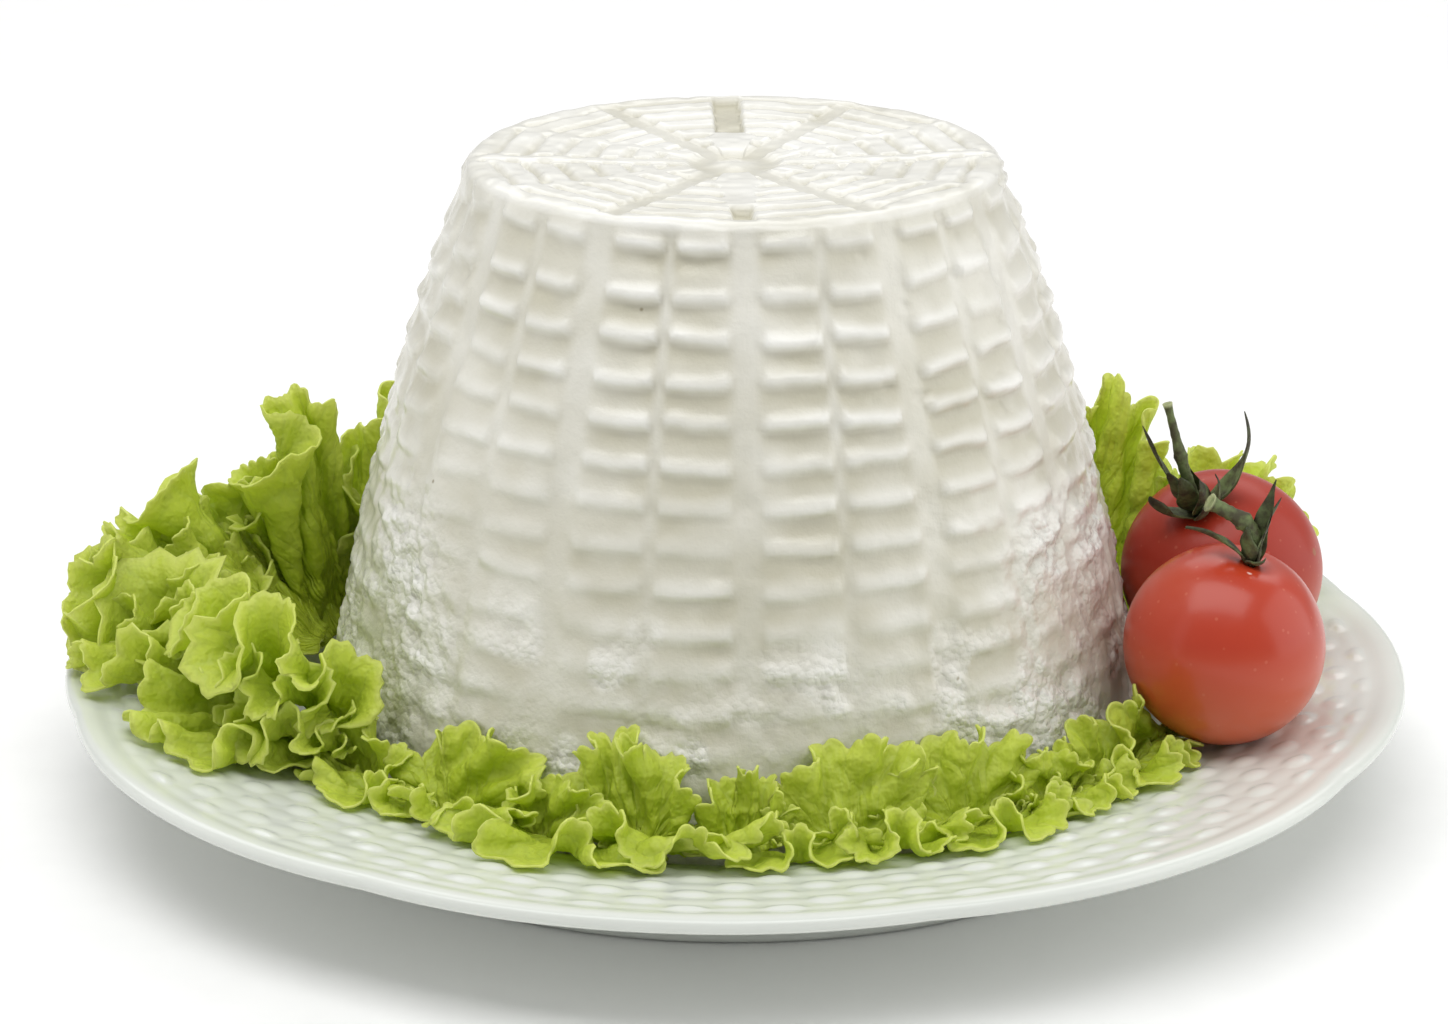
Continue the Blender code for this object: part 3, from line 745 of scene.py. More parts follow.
# Sepals round each stalk: turn, length, width, pitch at the base and at the tip, and sideways bend
SEPALS = {
    "calyx_front": [(70, 17.5, 3.6, 90, 98, 0), (8, 14, 4.4, 92, 80, 0), (188, 15, 2.4, 42, 2, 8),
                    (222, 8.5, 4, 62, 70, -10), (330, 10, 4, 84, 92, 10), (290, 4.5, 3.6, 30, 40, 0)],
    "calyx_rear": [(180, 26, 4.2, 72, 92, -10), (4, 27, 4.2, 10, 94, 8), (212, 15, 5.6, 14, 92, 10),
                   (262, 14, 5.4, 58, 92, 0), (300, 14, 5.6, 34, 98, 0), (335, 13, 5.2, 12, 104, 0),
                   (230, 15, 4.6, 66, 88, 0), (285, 9.5, 5, 8, 80, 0), (80, 14, 4.2, 66, 96, 0)],
}
# Stalks: length, thickness at the base and at the neck, and the direction each ends up pointing in
STALKS = {
    "calyx_front": (17.0, 3.2, 2.6, Vector((-0.86, -0.1, 0.5))),
    "calyx_rear": (24.0, 2.8, 1.4, Vector((-0.26, 0.05, 0.96))),
}
SEPAL_STEPS = 22
STALK_STEPS = 26


def sepal(bm, layer, turn, length, width, pitch, tip_pitch, bend):
    """Grow one curled, keeled sepal from the middle of the calyx."""
    grid = bmesh.ops.create_grid(bm, x_segments=6, y_segments=SEPAL_STEPS, size=0.5)["verts"]
    yaw = math.radians(turn)
    path, frames = [], []
    point = Vector((math.cos(yaw), math.sin(yaw), 0.0)) * 0.9
    for step in range(SEPAL_STEPS + 1):
        t = step / SEPAL_STEPS
        lift = math.radians(pitch + (tip_pitch - pitch) * t ** 0.8)
        heading = yaw + math.radians(bend) * t * t
        flat = Vector((math.cos(heading), math.sin(heading), 0.0))
        ahead = flat * math.cos(lift) + Vector((0.0, 0.0, math.sin(lift)))
        across = Vector((-math.sin(heading), math.cos(heading), 0.0))
        path.append(point.copy())
        frames.append((across, across.cross(ahead) * -1.0))
        point += ahead * (length / SEPAL_STEPS)
    twist = math.radians(40.0) * (1.0 if turn > 150.0 else -1.0)
    for vert in grid:
        t, s = vert.co.y + 0.5, vert.co.x * 2.0
        step = round(t * SEPAL_STEPS)
        across, up = frames[step]
        half = width / 2.0 * (0.7 + 0.3 * smooth(0.0, 0.25, t)) * (1.0 - t ** 2.0) ** 0.9 + 0.16
        half *= 1.0 + 0.16 * math.sin(11.0 * t + turn + s)
        roll = twist * t * t
        side = across * math.cos(roll) + up * math.sin(roll)
        top = up * math.cos(roll) - across * math.sin(roll)
        cup = (0.45 * half * (s * s) * (0.4 + 0.6 * t)
               + 0.3 * math.sin(9.0 * t + 2.0 * s + turn) * (t - t * t) * 2.0)
        vert.co = (path[step] + side * (half * s) + top * cup) * MM
        vert[layer] = t
    faces = {face for vert in grid for face in vert.link_faces}
    bmesh.ops.solidify(bm, geom=list(faces), thickness=0.5 * MM)


def stalk(bm, layer, cut, length, thick, neck, end):
    """Grow the bent stalk, with its swollen knuckle and its pale cut end."""
    ring = bmesh.ops.create_circle(bm, cap_ends=True, segments=12, radius=thick / 2.0 * MM)["verts"]
    face = ring[0].link_faces[0]
    point = Vector((0.0, 0.0, 0.0))
    direction = Vector((0.0, 0.0, 1.0))
    for step in range(1, STALK_STEPS + 1):
        t = step / STALK_STEPS
        new_direction = Vector((0.0, 0.0, 1.0)).lerp(end, float(smooth(0.0, 0.75, t))).normalized()
        point = point + new_direction * (length / STALK_STEPS) * MM
        radius = thick + (neck - thick) * t
        radius *= 1.0 + 0.35 * math.exp(-((t - 0.55) / 0.06) ** 2) + 0.5 * float(smooth(0.93, 1.0, t))
        radius *= 1.0 + 0.06 * math.sin(step * 2.4)
        face = bmesh.ops.extrude_discrete_faces(bm, faces=[face])["faces"][0]
        turn = direction.rotation_difference(new_direction).to_matrix()
        middle = face.calc_center_median()
        for vert in face.verts:
            arm = (turn @ (vert.co - middle)).normalized()
            vert.co = point + arm * (radius / 2.0 * MM)
            vert[layer] = 0.3 * t
            vert[cut] = float(t > 0.965)
        direction = new_direction
    bmesh.ops.inset_individual(bm, faces=[face], thickness=neck * 0.35 * MM, depth=-0.5 * MM)
    for vert in face.verts:
        vert[cut] = 0.25


def calyx_material(colour):
    """Drying tomato calyx: dull green sepals going brown and black at their tips, and a pale cut stalk."""
    material, tree, shader, place = start_material("Drying tomato calyx")
    along = add_node(tree, "ShaderNodeAttribute", attribute_name="tip").outputs["Fac"]
    cut = add_node(tree, "ShaderNodeAttribute", attribute_name="cut").outputs["Fac"]
    # Streaks and dry patches, about 2 mm across
    patches = add_node(tree, "ShaderNodeTexNoise", {"Vector": place, "Scale": 420.0, "Detail": 3.0})
    mixed = add_node(tree, "ShaderNodeMapRange", {"Value": patches.outputs["Fac"], "From Min": 0.38,
                                                 "From Max": 0.62})
    green = add_node(tree, "ShaderNodeMix", {0: mixed.outputs["Result"], 6: colour, 7: linear("#45422C")},
                     data_type="RGBA")
    dried = add_node(tree, "ShaderNodeMapRange", {"Value": along, "From Min": 0.45, "From Max": 1.0,
                                                 "To Min": 0.0, "To Max": 0.7})
    dark = add_node(tree, "ShaderNodeMix", {0: dried.outputs["Result"], 6: green.outputs[2],
                                            7: linear("#23221A")}, data_type="RGBA")
    whole = add_node(tree, "ShaderNodeMix", {0: cut, 6: dark.outputs[2], 7: linear("#B9BE8E")},
                     data_type="RGBA")
    # Wrinkles about 1 mm apart
    wrinkles = add_node(tree, "ShaderNodeTexNoise", {"Vector": place, "Scale": 1100.0, "Detail": 2.0})
    bump = add_node(tree, "ShaderNodeBump", {"Height": wrinkles.outputs["Fac"], "Strength": 0.7,
                                            "Distance": 0.3 * MM})
    set_inputs(tree, shader, {"Base Color": whole.outputs[2], "Roughness": 0.62, "IOR": 1.45,
                              "Normal": bump.outputs["Normal"]})
    return material


class RICOTTA_OT_calyxes(Operator):
    """Build the tomatoes' drying calyxes and cut stalks."""

    bl_idname = "ricotta.calyxes"
    bl_label = "Build Calyxes"

    def execute(self, context):
        material = calyx_material(context.scene.ricotta_tomato.sepal)
        for node, sepals in SEPALS.items():
            tomato = node.replace("calyx", "tomato")
            middle, radius = tomato_size(tomato)
            turn = tomato_turn(tomato)
            bm = bmesh.new()
            layer = bm.verts.layers.float.new("tip")
            cut = bm.verts.layers.float.new("cut")
            for values in sepals:
                sepal(bm, layer, *values)
            length, thick, neck, end = STALKS[node]
            stalk(bm, layer, cut, length, thick, neck, turn.inverted() @ end.normalized())
            bmesh.ops.recalc_face_normals(bm, faces=bm.faces)
            seat = Matrix.Translation((0.0, 0.0, (radius - 1.3) * MM))
            place = Matrix.Translation(middle * MM) @ turn.to_4x4() @ seat
            bmesh.ops.transform(bm, matrix=place, verts=bm.verts)
            place_piece(mesh_from(bm, node + "_dried"), material, "stalk", node)
        return {"FINISHED"}


# ---------------------------------------------------------------- lettuce

def curve(controls, along):
    """A smooth line through (angle, radius, height) points, spaced evenly in along from 0 to 1."""
    points = np.array(controls, float)
    count = len(points)
    if count == 2:
        return points[0] + (points[1] - points[0]) * along[:, None]
    padded = np.concatenate([2.0 * points[:1] - points[1:2], points, 2.0 * points[-1:] - points[-2:-1]])
    at = along * (count - 1)
    i = np.minimum(at.astype(int), count - 2)
    t = (at - i)[:, None]
    a, b, c, d = padded[i], padded[i + 1], padded[i + 2], padded[i + 3]
    return 0.5 * (2.0 * b + (c - a) * t + (2.0 * a - 5.0 * b + 4.0 * c - d) * t ** 2
                  + (3.0 * b - a - 3.0 * c + d) * t ** 3)


def doubled(values, axis):
    """Put a cubic midpoint between each pair of neighbours along an axis."""
    v = np.moveaxis(values, axis, 0)
    p = np.concatenate([2.0 * v[:1] - v[1:2], v, 2.0 * v[-1:] - v[-2:-1]])
    out = np.empty((2 * len(v) - 1,) + v.shape[1:], v.dtype)
    out[0::2] = v
    out[1::2] = (9.0 * (p[1:-2] + p[2:-1]) - p[:-3] - p[3:]) / 16.0
    return np.moveaxis(out, 0, axis)


# Height of the first folds in millimetres, and how closely each kind of growth keeps to the margin
FOLD_HEIGHT = 3.0
GROWTH_POWERS = (1.5, 2.8, 5.0)
# Share of its speed that a leaf keeps from step to step, and that it loses where it touches something
DAMPING = 0.9
FRICTION = 0.5
# How much faster a leaf falls with each step, and the furthest it may move in one, in millimetres
WEIGHT = 0.003
FURTHEST = 0.8
# Share of the steps in which the margins grow, and how many steps one search for neighbours serves
GROWING = 0.6
SEARCH_STEPS = 8


class GrowingLeaves:
    """Leaves as sheets of points that buckle into frills as their margins grow.

    Each sheet is a grid: u runs along the margin, v from the foot that the leaf is held by out to it.
    """

    def __init__(self, sheets, columns, rows, seed):
        self.sheets = sheets
        self.random = np.random.default_rng(seed)
        self.level = 0
        self.lay_out(columns, rows)
        x = self.target.copy()
        u = np.linspace(0.0, 1.0, columns)
        for k, sheet in enumerate(sheets):
            normal = np.cross(np.gradient(x[k], axis=0), np.gradient(x[k], axis=1))
            normal /= np.linalg.norm(normal, axis=-1, keepdims=True)
            # Of four draws for each sheet, the last two say where its first folds fall
            phase = self.random.random(4)[2:]
            sway = 0.15 * np.sin(math.tau * (0.9 * u + phase[1]))
            fold = FOLD_HEIGHT * np.sin(math.tau * (sheet["waves"] * u + phase[0] + sway))
            x[k] += normal * (fold[:, None] * self.reach ** 1.3)[..., None]
            x[k] += self.random.normal(0.0, 0.25, x[k].shape)
        self.x = x.astype(np.float32)
        self.before = self.x.copy()

    def lay_out(self, columns, rows):
        """Make each sheet's resting shape and lengths at this fineness."""
        count = len(self.sheets)
        u, v = np.linspace(0.0, 1.0, columns), np.linspace(0.0, 1.0, rows)
        self.target = np.zeros((count, columns, rows, 3), np.float32)
        self.own = np.zeros((count, columns - 1, rows), np.float32)
        self.rise = np.zeros((count, columns, rows - 1), np.float32)
        self.uneven = np.ones((count, columns - 1))
        self.reach = v
        self.held = np.where(v > 0.0, 0.0, 0.5).astype(np.float32)[:, None]
        for k, sheet in enumerate(self.sheets):
            foot, margin = (curve(line, u) for line in sheet["lines"])
            at = foot[:, None] + (margin - foot)[:, None] * v[None, :, None]
            place = polar(at[..., 0], at[..., 1], at[..., 2])
            self.target[k] = place
            self.own[k] = np.linalg.norm(np.diff(place, axis=0), axis=-1)
            phase = sheet["phase"]
            between = 0.5 * (u[1:] + u[:-1])
            self.uneven[k] = (1.0 + 0.35 * np.sin(math.tau * (1.7 * between + phase))
                              + 0.2 * np.sin(math.tau * (3.9 * between + 2.3 * phase)))
            self.rise[k] = np.linalg.norm(np.diff(place, axis=1), axis=-1) * 1.05

    def lengths(self, level):
        """Length of each piece of a sheet along its margin, once it has grown at every level so far."""
        grown = np.zeros_like(self.own)
        for k, sheet in enumerate(self.sheets):
            factor = np.ones(self.own.shape[1:])
            for growth, power in zip(sheet["growth"][:level + 1], GROWTH_POWERS):
                factor *= 1.0 + (growth - 1.0) * self.uneven[k][:, None] * self.reach ** power
            grown[k] = self.own[k] * factor
        return grown

    def refine(self):
        """Double the number of points each way and let the next, finer frill grow."""
        self.x = doubled(doubled(self.x, 1), 2).astype(np.float32)
        self.before = self.x.copy()
        self.lay_out(self.x.shape[1], self.x.shape[2])
        self.level += 1

    @staticmethod
    def pull(gap, rest, share, only_apart=False):
        """How far to move the two ends of each gap together so that its length nears its rest length."""
        length = np.sqrt((gap * gap).sum(-1)) + 1e-9
        excess = np.minimum(length - rest, 0.0) if only_apart else length - rest
        return (share * excess / length)[..., None] * gap

    def keep_lengths(self):
        """Hold the lengths along and across each sheet, in alternate pairs."""
        for points, rest in ((self.x, self.now), (np.swapaxes(self.x, 1, 2), np.swapaxes(self.rise, 1, 2))):
            for odd in (0, 1):
                a, b = points[:, odd:-1:2], points[:, odd + 1::2]
                shift = self.pull(b - a, rest[:, odd::2], 0.5)
                a += shift
                b -= shift

    def keep_square(self, share):
        """Resist shearing, along both diagonals of every cell."""
        x = self.x
        along = 0.5 * (self.now[:, :, :-1] + self.now[:, :, 1:])
        up = 0.5 * (self.rise[:, :-1] + self.rise[:, 1:])
        rest = np.sqrt(along * along + up * up)
        cells = x.shape[1] - 1
        for odd in (0, 1):
            left = np.arange(odd, cells, 2)
            for first, second in ((0, 1), (1, 0)):
                gap = x[:, left + second, 1:] - x[:, left + first, :-1]
                shift = self.pull(gap, rest[:, left], 0.25 * share)
                x[:, left + first, :-1] += shift
                x[:, left + second, 1:] -= shift

    def keep_stiff(self, along, across, skip):
        """Resist folding: points a few steps apart may not come closer than they lie when flat."""
        for axis, rest, share in ((1, self.now, along), (2, self.rise, across)):
            count = self.x.shape[axis] - skip
            flat = sum(np.take(rest, range(s, s + count), axis=axis) for s in range(skip))
            points = np.moveaxis(self.x, axis, 1)
            gap = points[:, skip:] - points[:, :count]
            shift = self.pull(gap, np.moveaxis(flat, axis, 1), 0.25 * share, only_apart=True)
            points[:, :count] += shift
            points[:, skip:] -= shift

    def keep_place(self, share):
        """Pull the sheet's broad shape, without its folds, back to where the leaf lies."""
        off = self.target - self.x
        wide = max(3, self.x.shape[1] // 5)
        half = wide // 2
        padded = np.concatenate([np.repeat(off[:, :1], half + 1, 1), off,
                                 np.repeat(off[:, -1:], wide - half, 1)], 1)
        running = np.cumsum(padded, 1)
        mean = (running[:, wide:] - running[:, :-wide])[:, :self.x.shape[1]] / wide
        self.x += share * mean + self.held * off

    def keep_out(self, tomatoes):
        """Push points out of the plate, the cheese and the tomatoes, and drag on those that touch."""
        x = self.x
        radius = np.sqrt(x[..., 0] ** 2 + x[..., 1] ** 2) + 1e-6
        floor = rim_top(radius) + 0.9 + 0.7 * (radius > WEAVE_INNER_RADIUS)
        low = x[..., 2] < floor
        x[..., 2] = np.where(low, floor, x[..., 2])
        wall = cheese_radius(np.clip(x[..., 2], CHEESE_BOTTOM, CHEESE_TOP)) + 0.8
        inside = radius < wall
        outside = radius > PLATE_RADIUS - 0.5
        scale = np.where(inside, wall / radius, np.where(outside, (PLATE_RADIUS - 0.5) / radius, 1.0))
        x[..., :2] *= scale[..., None]
        touching = low | inside
        for middle, size in tomatoes:
            gap = x - middle
            length = np.sqrt((gap * gap).sum(-1)) + 1e-6
            hit = length < size
            x[...] = middle + gap * np.where(hit, size / length, 1.0)[..., None]
            touching |= hit
        self.before += (touching * np.float32(FRICTION))[..., None] * (x - self.before)

    def find_neighbours(self, reach):
        """Pairs of points closer than reach that aren't neighbours within the same flat leaf."""
        columns, rows = self.x.shape[1:3]
        points = self.x.reshape(-1, 3)
        cell = np.floor((points - points.min(0)) / reach).astype(np.int64) + 1
        span = cell.max(0) + 2
        key = (cell[:, 0] * span[1] + cell[:, 1]) * span[2] + cell[:, 2]
        order = np.argsort(key, kind="stable")
        ranked = key[order]
        index = np.arange(len(points))
        first, second = [], []
        for step in np.ndindex(3, 3, 3):
            step = np.array(step) - 1
            if tuple(step) < (0, 0, 0):
                continue
            wanted = key + (step[0] * span[1] + step[1]) * span[2] + step[2]
            start = np.searchsorted(ranked, wanted, "left")
            number = np.searchsorted(ranked, wanted, "right") - start
            a = np.repeat(index, number)
            offset = np.repeat(start - np.concatenate([[0], np.cumsum(number)[:-1]]), number)
            b = order[offset + np.arange(len(a))]
            if not step.any():
                a, b = a[a < b], b[a < b]
            first.append(a)
            second.append(b)
        a, b = np.concatenate(first), np.concatenate(second)
        close = ((points[a] - points[b]) ** 2).sum(-1) < reach * reach
        a, b = a[close], b[close]
        leaf_a, leaf_b = a // (columns * rows), b // (columns * rows)
        u_a, v_a = a % (columns * rows) // rows, a % rows
        u_b, v_b = b % (columns * rows) // rows, b % rows
        along = self.now[leaf_a, np.minimum(u_a, columns - 2), v_a] * np.abs(u_a - u_b)
        up = self.rise[leaf_a, u_a, np.minimum(v_a, rows - 2)] * np.abs(v_a - v_b)
        apart = (leaf_a != leaf_b) | (np.hypot(along, up) > 2.2 * self.thick)
        self.pairs = a[apart], b[apart]

    def keep_apart(self):
        """Part touching layers of leaf to at least their thickness."""
        a, b = self.pairs
        points = self.x.reshape(-1, 3)
        gap = points[a] - points[b]
        length = np.sqrt((gap * gap).sum(-1)) + 1e-6
        hit = length < self.thick
        if not hit.any():
            return
        a, b, gap, length = a[hit], b[hit], gap[hit], length[hit]
        shift = (0.5 * (self.thick - length) / length)[:, None] * gap
        count = len(points)
        touches = np.maximum(np.bincount(a, minlength=count) + np.bincount(b, minlength=count), 1)
        for axis in range(3):
            moved = np.bincount(a, shift[:, axis], count) - np.bincount(b, shift[:, axis], count)
            points[:, axis] += (moved / touches).astype(np.float32)

    def relax(self, steps, thick, skip, stiff, hold, noise, tomatoes):
        """Grow the margins over a number of small steps while the sheets find their folds."""
        self.thick = thick
        start = self.lengths(self.level - 1) if self.level else self.own.copy()
        full = self.lengths(self.level)
        shake = self.random.normal(0.0, noise, self.x.shape) * (self.reach ** 2)[:, None]
        self.x += shake.astype(np.float32)
        solid = [(np.array(middle, np.float32), radius + 0.8) for middle, radius in tomatoes]
        for step in range(steps):
            self.now = (start + (full - start) * min(1.0, step / (GROWING * steps))).astype(np.float32)
            speed = (self.x - self.before) * np.float32(DAMPING)
            fast = np.sqrt((speed * speed).sum(-1, keepdims=True)) + 1e-9
            speed *= np.minimum(1.0, FURTHEST / fast)
            self.before = self.x.copy()
            self.x += speed
            self.x[..., 2] -= np.float32(WEIGHT)
            for _again in range(2):
                self.keep_lengths()
                self.keep_square(0.5)
                self.keep_stiff(stiff[0], stiff[1], skip)
            self.keep_place(np.float32(hold))
            if step % SEARCH_STEPS == 0:
                self.find_neighbours(thick * 1.6)
            self.keep_apart()
            self.keep_out(solid)


# How much a margin grows in broad folds, then in frills, then in fine ruffles
EVEN = (1.35, 1.3, 1.15)
BROAD = (1.4, 1.35, 1.2)
SMOOTH = (1.2, 1.22, 1.12)
RUFFLED = (1.22, 1.75, 1.5)
FINE = (1.12, 1.6, 1.7)


def blade(foot, margin, growth, waves, lobes):
    """One blade of a leaf: the short line it is held by, its long margin, and how that margin grows."""
    return {"lines": (foot, margin), "waves": waves, "growth": growth, "lobes": lobes,
            "phase": abs(0.37 * foot[0][0]) % 1.0}


def leaning(middle, half, top, off=3.0, skew=0.0, growth=EVEN, waves=1.5, lobes=(11.0, 4.5)):
    """A blade that is tucked in at the cheese's foot and stands against the cheese's side."""
    def wall(height):
        return float(cheese_radius(height)) + off

    low = 16.5
    high = low + 0.62 * (top - low)
    foot = [(middle - 0.3 * half, 86.5, low), (middle + 0.3 * half, 86.5, low)]
    margin = [(middle - 0.75 * half, wall(low) + 3.0, low + 3.0),
              (middle - 1.1 * half + 0.5 * skew, wall(high) + 3.0, high - 3.0),
              (middle - 0.45 * half + skew, wall(top), top - 1.0),
              (middle + 0.4 * half + skew, wall(top) + 1.0, top),
              (middle + 1.1 * half + 0.5 * skew, wall(high) + 3.0, high),
              (middle + 0.75 * half, wall(low) + 3.0, low + 3.0)]
    return blade(foot, margin, growth, waves, lobes)


def lying(middle, half, reach, rise=3.5, skew=0.0, growth=EVEN, waves=1.5, lobes=(11.0, 4.5)):
    """A blade that is tucked in at the cheese's foot and lies out over the plate's rim."""
    ground = float(rim_top(reach)) + 0.6 * rise
    side = 0.5 * (88.0 + reach)
    foot = [(middle - 0.3 * half, 87.0, 17.0), (middle + 0.3 * half, 87.0, 17.0)]
    margin = [(middle - 0.75 * half, 90.0, 19.0),
              (middle - 1.1 * half + 0.5 * skew, side, ground + 1.0),
              (middle - 0.45 * half + skew, reach, ground),
              (middle + 0.45 * half + skew, reach - 1.5, ground),
              (middle + 1.1 * half + 0.5 * skew, side, ground + 1.0),
              (middle + 0.75 * half, 90.0, 19.0)]
    return blade(foot, margin, growth, waves, lobes)


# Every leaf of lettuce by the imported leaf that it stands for, as the blades that it is made of
LEAVES = {
    "lettuce_front_left": [
        leaning(-51, 8, 29, 7, -3, BROAD),
        leaning(-37, 12, 33.5, 3, 2, SMOOTH, 1.2, (15, 5)),
        lying(-46, 10, 101, 4, -2),
        lying(-34, 9, 100, 9, 3, SMOOTH, 1.2, (13, 5))],
    "lettuce_front_middle_left": [
        leaning(-24, 8, 29, 8, 2),
        leaning(-12, 8, 37, 3, -3, BROAD, 1.6, (9, 4)),
        lying(-19, 14, 108, 4, 1, SMOOTH, 1.3, (16, 5.5)),
        lying(-7, 11, 103, 11, 3, SMOOTH, 1.2, (14, 6))],
    "lettuce_front_middle_right": [
        leaning(1, 6, 32, 4, 0, BROAD, 1.2, (9, 5)),
        leaning(14, 11, 36, 3, 2, SMOOTH, 1.4, (14, 5)),
        lying(6, 10, 101, 5, -1),
        lying(18, 9, 102, 8, 2, BROAD, 1.4, (10, 4.5))],
    "lettuce_front_right": [
        leaning(29, 12, 34, 3, 1, SMOOTH, 1.4, (14, 5)),
        leaning(42, 7, 28, 6, -2),
        lying(31, 11, 103, 4, 0, (1.3, 1.3, 1.15), 1.4, (13, 5)),
        lying(43, 8, 100, 6, 2, BROAD)],
    "lettuce_by_tomatoes": [
        leaning(51, 7, 30, 5, -1, SMOOTH, 1.3, (12, 5)),
        leaning(60, 7, 32, 10, 0, SMOOTH, 1.2, (12, 5)),
        lying(56, 9, 101, 6, 2)],
    "lettuce_left_front": [
        blade([(-73, 88, 18), (-63, 88, 18)],
              [(-80, 94, 22), (-76, 114, 30), (-70, 123, 27.5), (-63, 121, 25), (-57, 112, 26),
               (-56, 94, 22)],
              (1.2, 1.25, 1.12), 1.3, (19, 5)),
        blade([(-74, 84, 22), (-64, 83, 22)],
              [(-81, 90, 28), (-78, 104, 42), (-70, 110, 46), (-61, 107, 47), (-54, 98, 46), (-52, 87, 32)],
              RUFFLED, 3.2, (9, 3.5)),
        blade([(-70, 88, 26), (-60, 87, 26)],
              [(-74, 94, 30), (-71, 108, 38), (-63, 110, 39), (-55, 102, 38), (-53, 90, 30)],
              FINE, 3.4, (8, 3.5)),
        blade([(-66, 86, 20), (-59, 86, 20)],
              [(-69, 94, 24), (-66, 106, 30), (-59, 108, 30), (-53, 100, 29), (-52, 90, 25)],
              FINE, 2.6, (9, 4))],
    "lettuce_left": [
        blade([(-96, 88, 18), (-86, 88, 18)],
              [(-99, 98, 26), (-97, 118, 38), (-92, 129, 41), (-86, 131, 38), (-80, 129, 31),
               (-75, 121, 29), (-74, 98, 23)],
              RUFFLED, 3.4, (10, 4)),
        blade([(-102, 84, 22), (-92, 83, 22)],
              [(-110, 96, 28), (-107, 110, 43), (-101, 116, 51), (-95, 122, 49), (-90, 128, 44),
               (-84, 129, 39), (-80, 108, 29)],
              RUFFLED, 4, (10, 4.5)),
        blade([(-102, 94, 30), (-92, 94, 30)],
              [(-109, 98, 34), (-106, 108, 44), (-99, 113, 46), (-91, 112, 43), (-86, 102, 34)],
              FINE, 3.6, (8, 3.5)),
        blade([(-94, 104, 25), (-84, 104, 25)],
              [(-98, 110, 30), (-95, 121, 38), (-88, 124, 38), (-81, 121, 35), (-77, 110, 28)],
              FINE, 3.6, (8, 3.5)),
        blade([(-88, 92, 24), (-78, 92, 24)],
              [(-94, 98, 32), (-90, 108, 40), (-83, 112, 40), (-76, 108, 37), (-73, 96, 28)],
              FINE, 3.2, (9, 4))],
    "lettuce_left_back": [
        blade([(-114, 86, 18), (-102, 86, 18)],
              [(-119, 88, 26), (-115, 84, 46), (-110, 86, 60), (-105.5, 88, 70), (-101.5, 90, 71),
               (-99, 94, 61), (-100.5, 99, 45), (-102, 97, 28)],
              (1.15, 1.45, 1.4), 2.6, (10, 5)),
        blade([(-130, 86, 16), (-116, 86, 16)],
              [(-136, 88, 24), (-130, 79.5, 50), (-122, 77, 65), (-117, 78, 68), (-113.5, 82, 61),
               (-111, 86, 53), (-110, 88, 30)],
              (1.1, 1.25, 1.2), 1.5, (16, 4)),
        blade([(-113, 90, 30), (-103, 92, 30)],
              [(-119, 92, 34), (-115, 96, 48), (-108, 98, 56), (-102, 102, 52), (-99, 102, 36)],
              FINE, 3.2, (9, 4.5)),
        blade([(-110, 85, 18), (-100, 85, 18)],
              [(-117, 90, 26), (-112, 97, 40), (-105, 102, 43), (-98, 106, 39), (-96, 98, 28)],
              FINE, 3, (9, 4))],
    "lettuce_right_back": [
        blade([(116, 86, 16), (132, 86, 16)],
              [(112, 100, 26), (113.5, 103, 42), (116.5, 99, 54), (117.5, 96, 63), (120, 91, 67),
               (123.5, 86, 61), (130, 83, 50), (137, 85, 32)],
              (1.15, 1.35, 1.35), 1.6, (15, 6.5)),
        blade([(106, 86, 17), (116, 86, 17)],
              [(101, 98, 24), (102, 119, 34), (106.5, 121, 45), (111, 117, 51), (116, 107, 49),
               (119, 101, 42), (121, 94, 28)],
              (1.2, 1.4, 1.3), 1.6, (12, 5))],
    "lettuce_back_left": [
        leaning(-154, 12, 44, 4, 2, SMOOTH, 1.3, (14, 5)),
        leaning(-139, 9, 50, 3, -3, BROAD, 1.5, (10, 4.5)),
        lying(-146, 13, 105, 5, 2, SMOOTH, 1.4, (13, 5))],
    "lettuce_back": [
        leaning(-182, 9, 46, 3, 3, BROAD, 1.5, (11, 5)),
        leaning(-168, 12, 38, 5, -2, SMOOTH, 1.3, (14, 5)),
        lying(-174, 13, 103, 6, -2, BROAD, 1.6, (10, 4.5))],
    "lettuce_back_right": [
        leaning(149, 12, 43, 3, -2, SMOOTH, 1.4, (13, 5.5)),
        leaning(164, 9, 48, 5, 2, BROAD, 1.5, (10, 4.5)),
        lying(157, 14, 105, 5, 1, SMOOTH, 1.3, (15, 5.5))],
}


